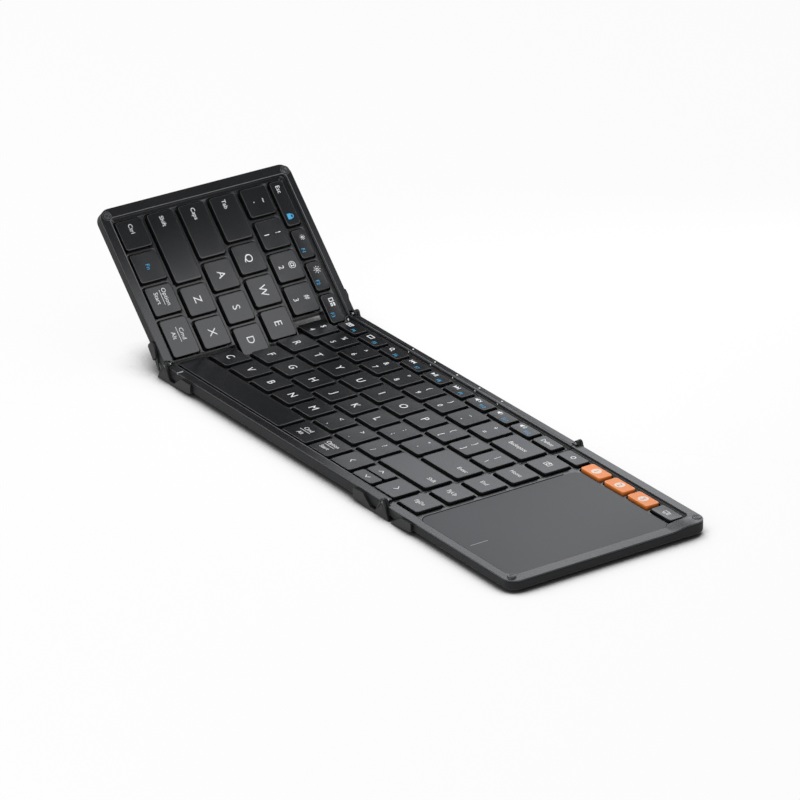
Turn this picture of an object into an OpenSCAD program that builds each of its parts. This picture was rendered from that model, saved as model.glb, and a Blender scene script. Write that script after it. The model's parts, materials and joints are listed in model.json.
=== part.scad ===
// Folding keyboard in three sections: a left key wing, a centre section and a right wing that holds
// the touchpad. Both wings turn about pins that lie level with the top of the rim. X runs to the
// typist's right, Y away from the typist, Z up from the desk. Drawn with the left wing half raised.

/* [Keys] */
// Distance from one key's centre to the next
pitch = 19; // [18.6:0.1:19.4]
// Gap between two key tops in a row
gap_x = 2.9; // [2.6:0.1:3.2]
// Gap between the key tops of two rows
gap_y = 3.5; // [3.1:0.1:3.9]
// Depth of a function key's top
fn_depth = 8; // [7.6:0.1:8.4]
// Height of a keycap
cap_h = 2.7; // [2.5:0.1:2.8]
// How far a key goes down
key_travel = 1.2; // [1:0.1:1.3]
// Gap between a keycap and the walls it moves past
cap_clear = 0.35; // [0.3:0.05:0.4]
// Gap between a keycap and the deck beside it and behind it
deck_clear = 0.85; // [0.7:0.05:0.9]
// Gap between a keycap and the deck in front of it
deck_front = 1.25; // [1:0.05:1.3]

/* [Body] */
// Width of the rim beside the left wing's keys
side_rim = 5.6; // [5.2:0.1:6]
// Width of the rim in front of the keys
front_rim = 5.1; // [4.9:0.1:5.6]
// Width of the rim behind the keys
back_rim = 4.6; // [4.5:0.1:5]
// Height of a section from its underside to its rim
body_h = 7; // [6.8:0.1:7.4]
// Step from the rim down to the deck between the keys
rim_step = 1.7; // [1.6:0.1:1.8]
// Radius of the body's upright corners
corner_r = 6; // [5:0.5:7]
// Slope cut from the body's bottom edge
bottom_chamfer = 1.6; // [1:0.1:1.8]
// Thickness of the bottom shell's sides
wall = 1.3; // [1.2:0.1:1.4]
// Thickness of the bottom shell's floor
floor_t = 0.9; // [0.8:0.1:1]

/* [Touchpad] */
// Width of the touchpad
pad_w = 75; // [70:1:80]
// Depth of the touchpad
pad_d = 94.4; // [92:0.2:95]
// Gap between the touchpad and the function keys' tops
pad_gap = 2; // [1.6:0.1:2.4]
// Gap between the page keys' places and the touchpad
pad_side = 3.1; // [2.8:0.1:3.6]
// Width of the border between the touchpad and the body's right side
pad_border = 6.9; // [6.5:0.1:8]
// How far the touchpad goes down when it is clicked
pad_travel = 0.3; // [0.2:0.05:0.35]

/* [Folds] */
// How far the left fold lies past the places of the first four and a quarter keys
left_fold_past = 1.25; // [0.95:0.1:1.55]
// How far the right fold lies past the places of the centre section's keys
right_fold_past = 0.5; // [0.3:0.1:0.6]
// Height of the fold pins above the rim
pivot_rise = 0.2; // [0.15:0.05:0.3]
// Gap between two sections
fold_gap = 0.4; // [0.3:0.05:0.4]
// How far the left wing is raised
wing_angle = 45; // [0:5:90]
// Radius of the fold pins
pin_r = 0.8; // [0.7:0.05:0.9]
// Play between a fold pin and the eye that turns on it
pin_play = 0.05; // [0.02:0.01:0.08]
// How far the hinge plates stand out from the body
plate_t = 1.5; // [1.4:0.1:1.8]

/* [Feet] */
// Height of the feet under the body
foot_h = 1; // [0.8:0.1:1.3]
// Radius of the feet
foot_r = 4.5; // [4:0.1:4.6]

/* [Hidden] */
$fn = 48;
eps = 0.01;
fit = 0.1;
// Heights above the desk
bottom_z = foot_h;
rim_z = bottom_z + body_h;
deck_z = rim_z - rim_step;
floor_z = bottom_z + floor_t;
key_drop = 0.3;
key_z = rim_z - key_drop;
cap_z = key_z - cap_h;
pressed_z = cap_z - key_travel;
pivot_z = rim_z + pivot_rise;
deck_t = 0.8;
deck_low = deck_z - deck_t;
dome_left = 0.4;
film_z = pressed_z - dome_left;
film_t = 0.2;
support_t = 0.3;
support_z = film_z - film_t;
plate_low = support_z - support_t;
parting = 0.15;
rim_t = 0.85;
border_rise = 0.6;
border_z = deck_z + border_rise;
pad_rise = 0.35;
pad_z = deck_z + pad_rise;
pad_t = 1;
pad_board_t = 0.8;
pad_low = pad_z - pad_t - pad_board_t;
battery_room = 0.25;
battery_z = pad_low - pad_travel - battery_room;
// Key grid; the function keys lie behind the number keys and behind the touchpad
row_u = [0, 1, 2, 3, 4];
fn_gap = 1;
pad_y = -0.4;
fn_y = max(5 * pitch + fn_gap, pad_y + pad_d + pad_gap);
well_front = 0.1;
well_room = 2.7;
well_back = fn_y + fn_depth + well_room;
front_y = well_front - front_rim;
back_y = well_back + back_rim;
mid_y = (front_y + back_y) / 2;
well_left = -1.5;
left_x = well_left - side_rim;
left_fold_x = 4.25 * pitch + left_fold_past;
right_fold_x = 14.5 * pitch + right_fold_past;
right_grid_x = right_fold_x + fold_gap;
right_fn_x = right_grid_x + 1.2;
pad_x = right_grid_x + pitch + pad_side;
right_x = pad_x + pad_w + pad_border;
right_fn_side = 8.3;
right_fn_pitch = (right_x - right_fn_side - right_fn_x) / 5;
fold_half = fold_gap / 2;
sweep_r = pivot_z - fit;
// The seams' walls stand between the caps of the two sections
seam_fn_y = (5 * pitch - gap_y / 2 + fn_y) / 2;
seam_wall = min(gap_x / 2, fn_y - seam_fn_y) - fold_half - cap_clear;
// The left seam steps sideways to follow the keys: [front of the band, place of the seam]
seam = [
    [front_y - 1, 4.25 * pitch], [2 * pitch, 4.75 * pitch], [3 * pitch, 4.5 * pitch],
    [4 * pitch, 4 * pitch], [seam_fn_y, 4.5 * pitch], [well_back - fold_half, left_fold_x]
];
// How far the raised wing reaches to the left of its fold
reach = (left_fold_x - left_x) * cos(wing_angle)
    + (pivot_z - bottom_z - bottom_chamfer) * sin(wing_angle);
origin_x = (left_fold_x - reach + right_x) / 2;

// Keys: [left edge, right edge] in grid units, row by row from the front
left_rows = [
    [[0, 1], [1, 2], [2, 3], [3, 4.25]],
    [[0, 2.25], [2.25, 3.25], [3.25, 4.25]],
    [[0, 1.75], [1.75, 2.75], [2.75, 3.75], [3.75, 4.75]],
    [[0, 1.5], [1.5, 2.5], [2.5, 3.5], [3.5, 4.5]],
    [[0, 1], [1, 2], [2, 3], [3, 4]]
];
left_fn = [[0, 1.5], [1.5, 2.5], [2.5, 3.5], [3.5, 4.5]];
center_rows = [
    [[9.25, 10.5], [10.5, 11.5], [11.5, 12.5], [13.5, 14.5]],
    [for (i = [0:7]) [4.25 + i, 5.25 + i]],
    [for (i = [0:7]) [4.75 + i, 5.75 + i]],
    [for (i = [0:9]) [4.5 + i, 5.5 + i]],
    [for (i = [0:8]) [4 + i, 5 + i]]
];
center_fn = [for (i = [0:9]) [4.5 + i, 5.5 + i]];
space_key = [4.25, 9.25];
arrow_key = [12.5, 13.5];
shift_key = [12.25, 14.5];
enter_key = [12.75, 14.5];
backspace_key = [13, 14.5];
arrow_gap = 1.2;
arrow_d = (pitch - gap_y - arrow_gap) / 2;
cap_r = 1.4;
cap_lip = 0.3;
boss_r = 1.8;
boss_h = 0.3;
dome_r = 3;

// Hinge plate outlines, from the fold pin
post_foot = 6;
eye_r = 1.8;
post_low = 0.1 - pivot_z;
leaf_low = bottom_z + 0.6 - pivot_z;
leaf_end = 0.9;
leaf_thin = 0.6;
// Leaves: [foot nearest the fold, near end of the top, far end, place of the lug]
leaf = [8.2, 15.8, 24.5, 17.5];
// The left wing's leaf starts behind the post
near_leaf = [0.4, 11, 15, 8.5];
ear_t = 1.4;
ear_low = -3.7;
ear_high = -2;
lug_w = 4.5;
lug_low = -4.9;
lug_high = -3.9;
lug_in = 2.6;

// Places of feet, screws and bumpers
foot_in_x = 8.4;
foot_in_y = 8;
left_screw_x = [1.15 * pitch, 2.65 * pitch];
center_screw_x = [6.5 * pitch, 9.5 * pitch, 12.5 * pitch];
right_screw_x = [pad_x + 11.5, pad_x + pad_w - 21.5];
screw_y = [front_y + 3.1, back_y - 2.9];
bumper_r = 2.2;
bumper_in = 3.9;
screw_boss_r = 1.5;
status_x = 7 * pitch + 3.3;
status_pitch = pitch + 0.4;
magnet_r = 0.7;
usb_x = pad_x + 32.5;
usb_w = 8.94;
usb_h = 3.16;
usb_len = 6.8;
usb_in = 0.4;
usb_z = floor_z + 0.35;
// Boards and battery lie under the touchpad, with the click dome between them
battery_in = 6;
battery_back = pad_y + pad_d / 2 - 1.2;
click_y = battery_back + 6;
board_front = click_y + 6;
board_t = 0.6;
// Run of the slope between the right wing's low border and its back rim
ramp = 8;
ramp_y = well_back - 2 * ramp;

// ---- Shared shapes ----

module on_desk() {
    translate([-origin_x, -mid_y, 0]) children();
}

module raised() {
    on_desk() translate([left_fold_x, 0, pivot_z]) rotate([0, wing_angle, 0])
        translate([-left_fold_x, 0, -pivot_z]) children();
}

module box(x0, x1, y0, y1, z0, z1) {
    translate([x0, y0, z0]) cube([x1 - x0, y1 - y0, z1 - z0]);
}

// Rounded rectangle between two corners
module round_rect(x0, x1, y0, y1, r) {
    translate([x0 + r, y0]) square([x1 - x0 - 2 * r, y1 - y0]);
    translate([x0, y0 + r]) square([x1 - x0, y1 - y0 - 2 * r]);
    for (x = [x0 + r, x1 - r], y = [y0 + r, y1 - r]) translate([x, y]) circle(r);
}

module round_block(x0, x1, y0, y1, r, z0, z1) {
    translate([0, 0, z0]) linear_extrude(z1 - z0) round_rect(x0, x1, y0, y1, r);
}

// A flat slab in the plan of the whole unfolded body, drawn in from its outline
module slab(inset, z0, z1) {
    round_block(left_x + inset, right_x - inset, front_y + inset, back_y - inset,
        corner_r - inset, z0, z1);
}

// The same slab with a slope of size c all round its bottom edge
module sloped_slab(inset, z0, z1, c) {
    x0 = left_x + inset;
    x1 = right_x - inset;
    y0 = front_y + inset;
    y1 = back_y - inset;
    r = corner_r - inset;
    slab(inset, z0 + c, z1);
    translate([0, y1 - r, z0]) rotate([90, 0, 0]) linear_extrude(y1 - y0 - 2 * r)
        polygon([[x0 + c, 0], [x1 - c, 0], [x1, c], [x0, c]]);
    translate([x0 + r, 0, z0]) rotate([90, 0, 90]) linear_extrude(x1 - x0 - 2 * r)
        polygon([[y0 + c, 0], [y1 - c, 0], [y1, c], [y0, c]]);
    for (x = [x0 + r, x1 - r], y = [y0 + r, y1 - r])
        translate([x, y, z0]) cylinder(h = c, r1 = r - c, r2 = r);
}

// Points along the stepped seam, moved by g to the right (to the left when g is negative)
function seam_points(g) = [
    for (i = [0:len(seam) - 1])
        let (
            low = i == 0 ? seam[0][0] : seam[i][0] - g * sign(seam[i][1] - seam[i - 1][1]),
            high = i == len(seam) - 1 ? back_y + 1
                : seam[i + 1][0] - g * sign(seam[i + 1][1] - seam[i][1])
        )
        each [[seam[i][1] + g, low], [seam[i][1] + g, high]]
];

// Everything that belongs to one section, kept g away from its seams
module left_region(g) {
    translate([0, 0, -1]) linear_extrude(20)
        polygon(concat(seam_points(-g), [[left_x - 1, back_y + 1], [left_x - 1, front_y - 1]]));
}

module center_region(g) {
    translate([0, 0, -1]) linear_extrude(20) polygon(concat(seam_points(g),
        [[right_fold_x - g, back_y + 1], [right_fold_x - g, front_y - 1]]));
}

module right_region(g) {
    box(right_fold_x + g, right_x + 1, front_y - 1, back_y + 1, -1, 19);
}

// What may lie past the left fold line without reaching the desk as the wing turns
module sweep_limit(inset) {
    box(left_x - 1, left_fold_x, front_y - 1, back_y + 1, -1, 19);
    translate([left_fold_x, back_y + 1, pivot_z]) rotate([90, 0, 0])
        cylinder(h = back_y - front_y + 2, r = sweep_r - inset);
}

module both_ends() {
    children();
    translate([0, 2 * mid_y, 0]) mirror([0, 1, 0]) children();
}

// Places children at a fold; dir is 1 where the wing lies to the right and -1 to the left
module at_fold(x, dir) {
    translate([x, 0, pivot_z]) mirror([dir < 0 ? 1 : 0, 0, 0]) children();
}

// ---- Keys ----

// One cap: [x0, x1, y0, y1] of its top
function grid_cap(row, key, shift) = [
    key[0] * pitch + gap_x / 2 + shift, key[1] * pitch - gap_x / 2 + shift,
    row * pitch + gap_y / 2, (row + 1) * pitch - gap_y / 2
];
function fn_cap(key) = [
    key[0] * pitch + gap_x / 2, key[1] * pitch - gap_x / 2, fn_y, fn_y + fn_depth
];
function right_fn_cap(i) = let (x = right_fn_x + i * right_fn_pitch + gap_x / 2)
    [x, x + right_fn_pitch - gap_x, fn_y, fn_y + fn_depth];
function arrow_cap(half) = let (
        x = arrow_key[0] * pitch + gap_x / 2,
        y = gap_y / 2 + half * (arrow_d + arrow_gap)
    ) [x, x + pitch - gap_x, y, y + arrow_d];

function left_row_caps(r) = [for (k = left_rows[r]) grid_cap(r, k, 0)];
function center_row_caps(r) = [for (k = center_rows[r]) grid_cap(r, k, 0)];
left_fn_caps = [for (k = left_fn) fn_cap(k)];
center_fn_caps = [for (k = center_fn) fn_cap(k)];
arrow_caps = [arrow_cap(0), arrow_cap(1)];
page_caps = [for (r = row_u) [
    right_grid_x + gap_x / 2, right_grid_x + pitch - gap_x / 2,
    r * pitch + gap_y / 2, (r + 1) * pitch - gap_y / 2
]];
right_fn_caps = [for (i = [0:4]) right_fn_cap(i)];
left_caps = concat([for (r = row_u) each left_row_caps(r)], left_fn_caps);
center_caps = concat([for (r = row_u) each center_row_caps(r)], center_fn_caps, arrow_caps,
    [grid_cap(0, space_key, 0), grid_cap(1, shift_key, 0), grid_cap(2, enter_key, 0),
    grid_cap(4, backspace_key, 0)]);
right_caps = concat(page_caps, right_fn_caps);

// A cap: an upright body and a slightly smaller top face, with a plunger boss under it
module keycap(c) {
    round_block(c[0], c[1], c[2], c[3], cap_r, cap_z + boss_h, key_z - cap_lip);
    round_block(c[0] + cap_lip, c[1] - cap_lip, c[2] + cap_lip, c[3] - cap_lip, cap_r - 0.2,
        key_z - cap_lip - eps, key_z);
    translate([(c[0] + c[1]) / 2, (c[2] + c[3]) / 2, cap_z]) cylinder(h = boss_h + eps, r = boss_r);
}

module keycaps(caps) {
    for (c = caps) keycap(c);
}

module key_openings(caps) {
    for (c = caps) round_block(c[0] - deck_clear, c[1] + deck_clear,
        c[2] - (c[2] < fn_y ? deck_front : deck_clear), c[3] + deck_clear,
        cap_r + deck_clear, deck_low - 1, rim_z + 1);
}

// Room for a cap to move in, from height z0 up
module cap_space(c, z0) {
    round_block(c[0] - cap_clear, c[1] + cap_clear, c[2] - cap_clear, c[3] + cap_clear,
        cap_r + cap_clear, z0, rim_z + 1);
}

// Rubber domes that hold the caps up; a long key has one in its middle
module domes(caps) {
    for (c = caps) translate([(c[0] + c[1]) / 2, (c[2] + c[3]) / 2, film_z])
        cylinder(h = cap_z - film_z, r1 = dome_r, r2 = boss_r);
}

// ---- Shells and frames ----

// Floor and sides of a section; the sides are low and thin along the seams, under the deck
module shell_body() {
    sloped_slab(0, bottom_z, rim_z - rim_t - parting, bottom_chamfer);
}

module shell_hollow() {
    sloped_slab(wall, floor_z, rim_z, bottom_chamfer - 0.5);
}

module deck_space() {
    slab(wall, deck_low - fit, rim_z);
}

// The frame's rim over the shell's sides, its deck inside them and the skirt between
module frame_body() {
    slab(wall + fit, deck_low, rim_z - rim_t + eps);
    slab(0, rim_z - rim_t, rim_z);
}

module well(x0, x1) {
    round_block(x0, x1, well_front, well_back, 2, deck_z, rim_z + 1);
}

module screw_bosses(xs) {
    for (x = xs, y = screw_y) translate([x, y, floor_z + fit])
        cylinder(h = deck_z - floor_z - fit, r = screw_boss_r);
}

module screw_pilots(xs) {
    for (x = xs, y = screw_y) translate([x, y, floor_z]) cylinder(h = deck_low - floor_z, r = 0.72);
}

// Holes through the floor, and seats in its sloped sides for the frame's bosses
module screw_holes(xs) {
    for (x = xs, y = screw_y) {
        translate([x, y, bottom_z - 1]) {
            cylinder(h = 3, r = 0.85);
            cylinder(h = 1.45, r = 1.8);
        }
        translate([x, y, floor_z]) cylinder(h = bottom_chamfer, r = screw_boss_r + fit);
    }
}

module screws(xs) {
    for (x = xs, y = screw_y) translate([x, y, bottom_z]) difference() {
        union() {
            cylinder(h = 0.45, r = 1.6);
            cylinder(h = deck_low - bottom_z - 0.3, r = 0.7);
        }
        translate([0, 0, -eps]) cylinder(h = 0.25, r = 0.8, $fn = 6);
    }
}

module feet(places) {
    for (p = places) translate([p[0], p[1], 0]) {
        cylinder(h = 0.3, r1 = foot_r - 0.3, r2 = foot_r);
        translate([0, 0, 0.3]) cylinder(h = foot_h - 0.1, r = foot_r);
    }
}

module foot_recesses(places) {
    for (p = places) translate([p[0], p[1], 0]) cylinder(h = foot_h + 0.2, r = foot_r + 0.05);
}

module bumper(x, y, z, rise) {
    translate([x, y, z - 0.6]) cylinder(h = 0.6 + rise / 2, r = bumper_r - 0.1);
    translate([x, y, z + rise / 2 - eps]) cylinder(h = rise / 2 + eps, r1 = bumper_r - 0.1, r2 = 1.5);
}

module bumper_recess(x, y, z) {
    translate([x, y, z - 0.6]) cylinder(h = 2, r = bumper_r);
}

foot_ys = [front_y + foot_in_y, back_y - foot_in_y - 3];
left_feet_at = [for (y = foot_ys) [left_x + foot_in_x, y]];
center_feet_at = [for (x = [left_fold_x + 18, right_fold_x - 14], y = foot_ys) [x, y]];
right_feet_at = [for (y = foot_ys) [right_x - foot_in_x, y]];
left_bumper_x = left_x + bumper_in;
right_bumper_x = right_x - bumper_in - 1.2;
bumper_ys = [front_y + bumper_in + 0.2, back_y - bumper_in + 0.8];

// ---- Hinge parts, drawn from the fold pin at the front ----

// A plate that stands on the outside of the front wall; skin keeps it off a moving wall
module hinge_plate(points, skin) {
    translate([0, front_y - skin, 0]) rotate([90, 0, 0]) linear_extrude(plate_t - skin)
        polygon(points);
}

// A leaf on the outside of the wall, thin where it lies behind the post
module hinge_leaf(l, top) {
    points = [[l[0], post_low], [l[0], post_low + leaf_end], [l[1], top], [l[2] - 0.8, top],
        [l[2], top - 0.8], [l[2], leaf_low + 0.8], [l[2] - 0.8, leaf_low]];
    intersection() {
        hinge_plate(points, 0);
        box(post_foot + 0.6, l[2] + 1, front_y - plate_t - 1, front_y + 1, post_low - 1, 1);
    }
    if (l[0] < post_foot) intersection() {
        translate([0, front_y - 0.1, 0]) rotate([90, 0, 0]) linear_extrude(leaf_thin)
            polygon(points);
        box(0, post_foot + 1.6, front_y - plate_t - 1, front_y + 1, post_low - 1, 1);
    }
    box(l[3], l[3] + lug_w, front_y - plate_t / 2, front_y + lug_in, lug_low, lug_high);
}

module lug_slot(l) {
    box(l[3] - 0.05, l[3] + lug_w + 0.05, front_y - 1, front_y + lug_in + 0.1,
        lug_low - 0.05, lug_high + 0.05);
}

// Fixed side of a hinge: a leaf, and a post that carries the pin level with the rim. The moving
// leaf's near end, if it has one, lies behind the post's foot.
module fold_post(moving) {
    difference() {
        union() {
            mirror([1, 0, 0]) hinge_leaf(leaf, -1.5);
            hinge_plate([[-leaf[0] - 2, post_low], [post_foot, post_low], [eye_r, 0], [-eye_r, 0],
                [-post_foot + 0.6, post_low + 1.7], [-leaf[0] - 2, post_low + 1.7]], 0.2);
            translate([0, front_y - 0.2, 0]) rotate([90, 0, 0])
                cylinder(h = plate_t - 0.2, r = eye_r);
        }
        translate([0, front_y + 1, 0]) rotate([90, 0, 0]) cylinder(h = plate_t + 2, r = pin_r);
        if (moving[0] < post_foot) box(moving[0] - 0.3, post_foot + 1, front_y - leaf_thin - 0.2,
            front_y + 1, post_low - 1, -4.2);
    }
}

module ear_outline(l, grow) {
    polygon([[0.4 - grow, ear_low - grow], [l[1] + 1 + grow, ear_low - grow],
        [l[1] + 1 + grow, ear_high + grow], [4.2, ear_high + grow], [1.3 + grow, 0.8 + grow],
        [0, 0]]);
}

// Moving side: a leaf, and an ear that reaches through the wall and turns on the pin
module fold_bracket(l, top) {
    difference() {
        union() {
            hinge_leaf(l, top);
            translate([0, front_y + 0.1 + ear_t, 0]) rotate([90, 0, 0]) {
                cylinder(h = ear_t, r = eye_r - 0.1);
                linear_extrude(ear_t) ear_outline(l, 0);
            }
            box(l[1] - 0.4, l[1] + 1, front_y - plate_t / 2, front_y + ear_t / 2,
                ear_low, ear_high - 0.3);
        }
        translate([0, front_y + 3, 0]) rotate([90, 0, 0]) cylinder(h = 6, r = pin_r + pin_play);
    }
}

module fold_pin() {
    translate([0, front_y + 2.6, 0]) rotate([90, 0, 0]) cylinder(h = 2.6 + plate_t - 0.2, r = pin_r);
}

// Room for the eye and the pin's free end, cut from both sections' rims
module pin_notch() {
    translate([0, front_y + 3.1, 0]) rotate([90, 0, 0]) cylinder(h = 4, r = eye_r + 0.3);
}

// Slot in the moving section's wall for the bracket's ear
module ear_slot(l) {
    translate([0, front_y + 0.2 + ear_t, 0]) rotate([90, 0, 0]) linear_extrude(ear_t + 1.2)
        ear_outline(l, fit);
}

module fixed_fold_cuts(x, dir) {
    both_ends() at_fold(x, dir) {
        pin_notch();
        mirror([1, 0, 0]) lug_slot(leaf);
        box(0, 4, front_y - 1, front_y + ear_t + 0.4, ear_low - 0.3, 3);
    }
}

module moving_fold_cuts(x, dir, l) {
    both_ends() at_fold(x, dir) {
        pin_notch();
        lug_slot(l);
        ear_slot(l);
    }
}

// ---- Centre section ----

module center_bottom_shell() {
    color("#26282a") on_desk() difference() {
        intersection() { shell_body(); center_region(fold_half); }
        intersection() { shell_hollow(); center_region(fold_half + seam_wall); }
        intersection() { deck_space(); center_region(0); }
        magnet_place(0.03);
        screw_holes(center_screw_x);
        foot_recesses(center_feet_at);
        fixed_fold_cuts(left_fold_x, -1);
        fixed_fold_cuts(right_fold_x, 1);
    }
}

module center_top_frame() {
    color("#3c3f42") on_desk() difference() {
        union() {
            difference() {
                intersection() { frame_body(); center_region(fold_half); }
                well(left_fold_x - 30, right_fold_x + 30);
                key_openings(center_caps);
            }
            screw_bosses(center_screw_x);
        }
        screw_pilots(center_screw_x);
        fixed_fold_cuts(left_fold_x, -1);
        fixed_fold_cuts(right_fold_x, 1);
        status_places(0.03);
        magnet_place(0.03);
    }
}

// The plate and film under the keys, inside the shell's walls
module key_plate(z0, z1) {
    intersection() {
        box(left_x + 2 * wall, right_x - 2 * wall, well_front + 0.6, fn_y + fn_depth, z0, z1);
        children();
    }
}

module center_support_plate() {
    color("#8f9396") on_desk() key_plate(plate_low, support_z) center_region(wall + 0.5);
}

module center_membrane() {
    color("#b9c4c2") on_desk() key_plate(support_z, film_z) center_region(wall + 0.7);
}

module center_domes() {
    color("#c9c9c4") on_desk() domes(center_caps);
}

module center_feet() {
    color("#1b1c1d") on_desk() feet(center_feet_at);
}

module center_screws() {
    color("#55585a") on_desk() screws(center_screw_x);
}

// Small light windows in the back rim, in pairs: one in its step and one in its top
module status_places(grow) {
    for (i = [0:4]) translate([status_x + i * status_pitch, 0, 0]) {
        translate([0, back_y - 1.7, rim_z - 0.5]) cylinder(h = 0.5 + grow, r = 0.45 + grow);
        translate([0, well_back + 0.6, rim_z - 0.8]) rotate([90, 0, 0])
            cylinder(h = 0.6 + grow, r = 0.4 + grow);
    }
}

module status_windows() {
    color("#eef1f2") on_desk() status_places(0);
}

module magnet_place(grow) {
    translate([left_fold_x + 10.4, front_y + 3.3 + grow, rim_z - 0.45]) rotate([90, 0, 0])
        cylinder(h = 3.3 + 2 * grow, r = magnet_r + grow);
}

module fold_magnet() {
    color("#d5d8da") on_desk() magnet_place(0);
}

module left_fold_posts() {
    color("#2c2e30") on_desk() both_ends() at_fold(left_fold_x, -1) fold_post(near_leaf);
}

module right_fold_posts() {
    color("#2c2e30") on_desk() both_ends() at_fold(right_fold_x, 1) fold_post(leaf);
}

module left_fold_pins() {
    color("#d5d8da") on_desk() both_ends() at_fold(left_fold_x, -1) fold_pin();
}

module right_fold_pins() {
    color("#d5d8da") on_desk() both_ends() at_fold(right_fold_x, 1) fold_pin();
}

// ---- Left wing, raised at rest ----

module left_bottom_shell() {
    color("#26282a") raised() difference() {
        intersection() { shell_body(); left_region(fold_half); sweep_limit(0); }
        intersection() { shell_hollow(); left_region(fold_half + seam_wall); sweep_limit(wall); }
        intersection() { deck_space(); left_region(0); }
        for (r = row_u) cap_space(left_row_caps(r)[len(left_rows[r]) - 1], pressed_z);
        screw_holes(left_screw_x);
        foot_recesses(left_feet_at);
        moving_fold_cuts(left_fold_x, -1, near_leaf);
    }
}

module left_top_frame() {
    color("#3c3f42") raised() difference() {
        union() {
            difference() {
                intersection() { frame_body(); left_region(fold_half); sweep_limit(0); }
                well(well_left, left_fold_x + 30);
                key_openings(left_caps);
            }
            screw_bosses(left_screw_x);
        }
        screw_pilots(left_screw_x);
        moving_fold_cuts(left_fold_x, -1, near_leaf);
        for (y = bumper_ys) bumper_recess(left_bumper_x, y, rim_z);
    }
}

module left_support_plate() {
    color("#8f9396") raised() key_plate(plate_low, support_z) intersection() {
        left_region(wall + 0.5);
        sweep_limit(wall + 0.3);
    }
}

module left_membrane() {
    color("#b9c4c2") raised() key_plate(support_z, film_z) intersection() {
        left_region(wall + 0.7);
        sweep_limit(wall + 0.4);
    }
}

module left_domes() {
    color("#c9c9c4") raised() domes(left_caps);
}

module left_feet() {
    color("#1b1c1d") raised() feet(left_feet_at);
}

module left_screws() {
    color("#55585a") raised() screws(left_screw_x);
}

module left_bumpers() {
    color("#1b1c1d") raised() {
        bumper(left_bumper_x, bumper_ys[0], rim_z, 0.3);
        bumper(left_bumper_x, bumper_ys[1], rim_z, 0.1);
    }
}

module left_wing_brackets() {
    color("#2c2e30") raised() both_ends() at_fold(left_fold_x, -1)
        fold_bracket(near_leaf, -1.5);
}

// ---- Right wing ----

// The right wing's rim is low in front and at its side, and ramps up to the back rim
module low_border_cut() {
    translate([right_fold_x - 1, 0, 0]) rotate([90, 0, 90])
        linear_extrude(right_x - right_fold_x + 2) polygon([[front_y - 1, border_z],
            [ramp_y, border_z], [ramp_y + ramp, rim_z],
            [ramp_y + ramp, rim_z + 1], [front_y - 1, rim_z + 1]]);
}

module right_deck_cut() {
    round_block(right_fold_x - 9, right_x - 8.2, pad_y + pad_d - 8, well_back, 4, deck_z, rim_z + 1);
    round_block(right_fold_x - 9, pad_x - 1.2, well_front, well_back, 2, deck_z, rim_z + 1);
}

module pad_space(grow, z0, z1) {
    round_block(pad_x - grow, pad_x + pad_w + grow, pad_y - grow, pad_y + pad_d + grow, 5 + grow,
        z0, z1);
}

module right_bottom_shell() {
    color("#26282a") on_desk() difference() {
        intersection() {
            shell_body();
            right_region(fold_half);
        }
        low_wall_cut();
        intersection() { shell_hollow(); right_region(fold_half + seam_wall); }
        intersection() { deck_space(); right_region(0); }
        screw_holes(right_screw_x);
        foot_recesses(right_feet_at);
        moving_fold_cuts(right_fold_x, 1, leaf);
        usb_opening(0.2, back_y - wall - 1, back_y + 1);
    }
}

// Brings the shell's sides down under the low part of the frame's rim
module low_wall_cut() {
    translate([0, 0, border_z - rim_z - parting]) translate([right_fold_x - 1, 0, 0])
        rotate([90, 0, 90]) linear_extrude(right_x - right_fold_x + 2)
            polygon([[front_y - 1, rim_z - rim_t], [ramp_y, rim_z - rim_t],
                [ramp_y + ramp, 2 * rim_z - rim_t - border_z], [ramp_y + ramp, rim_z + 3],
                [front_y - 1, rim_z + 3]]);
}

module right_top_frame() {
    color("#3c3f42") on_desk() difference() {
        union() {
            difference() {
                intersection() {
                    union() {
                        slab(wall + fit, deck_low, rim_z);
                        difference() {
                            slab(0, border_z - rim_t, rim_z);
                            rim_undercut();
                        }
                    }
                    right_region(fold_half);
                }
                low_border_cut();
                right_deck_cut();
                key_openings(right_caps);
                pad_space(0.35, deck_low - 1, rim_z + 1);
            }
            screw_bosses(right_screw_x);
        }
        screw_pilots(right_screw_x);
        moving_fold_cuts(right_fold_x, 1, leaf);
        bumper_recess(right_bumper_x, bumper_ys[0], border_z);
        bumper_recess(right_bumper_x, bumper_ys[1], rim_z);
        usb_opening(0.08, back_y - usb_in - usb_len - 0.1, back_y + 1);
    }
}

// Keeps the frame's rim as thick along the ramp and the back as along the front
module rim_undercut() {
    translate([right_fold_x - 1, 0, 0]) rotate([90, 0, 90])
        linear_extrude(right_x - right_fold_x + 2)
            polygon([[ramp_y, border_z - rim_t], [ramp_y + ramp, rim_z - rim_t],
                [back_y + 1, rim_z - rim_t], [back_y + 1, 0], [ramp_y, 0]]);
}

module right_plate_region(g) {
    difference() {
        right_region(g);
        box(pad_x - 1.5, right_x, front_y, pad_y + pad_d + 1.2, -1, 19);
    }
}

module right_support_plate() {
    color("#8f9396") on_desk() intersection() {
        key_plate(plate_low, support_z) right_plate_region(wall + 0.5);
        box(0, right_x - 8, 0, back_y, 0, rim_z);
    }
}

module right_membrane() {
    color("#b9c4c2") on_desk() intersection() {
        key_plate(support_z, film_z) right_plate_region(wall + 0.7);
        box(0, right_x - 8.2, 0, back_y, 0, rim_z);
    }
}

module right_domes() {
    color("#c9c9c4") on_desk() domes(right_caps);
}

module right_feet() {
    color("#1b1c1d") on_desk() feet(right_feet_at);
}

module right_screws() {
    color("#55585a") on_desk() screws(right_screw_x);
}

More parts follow.
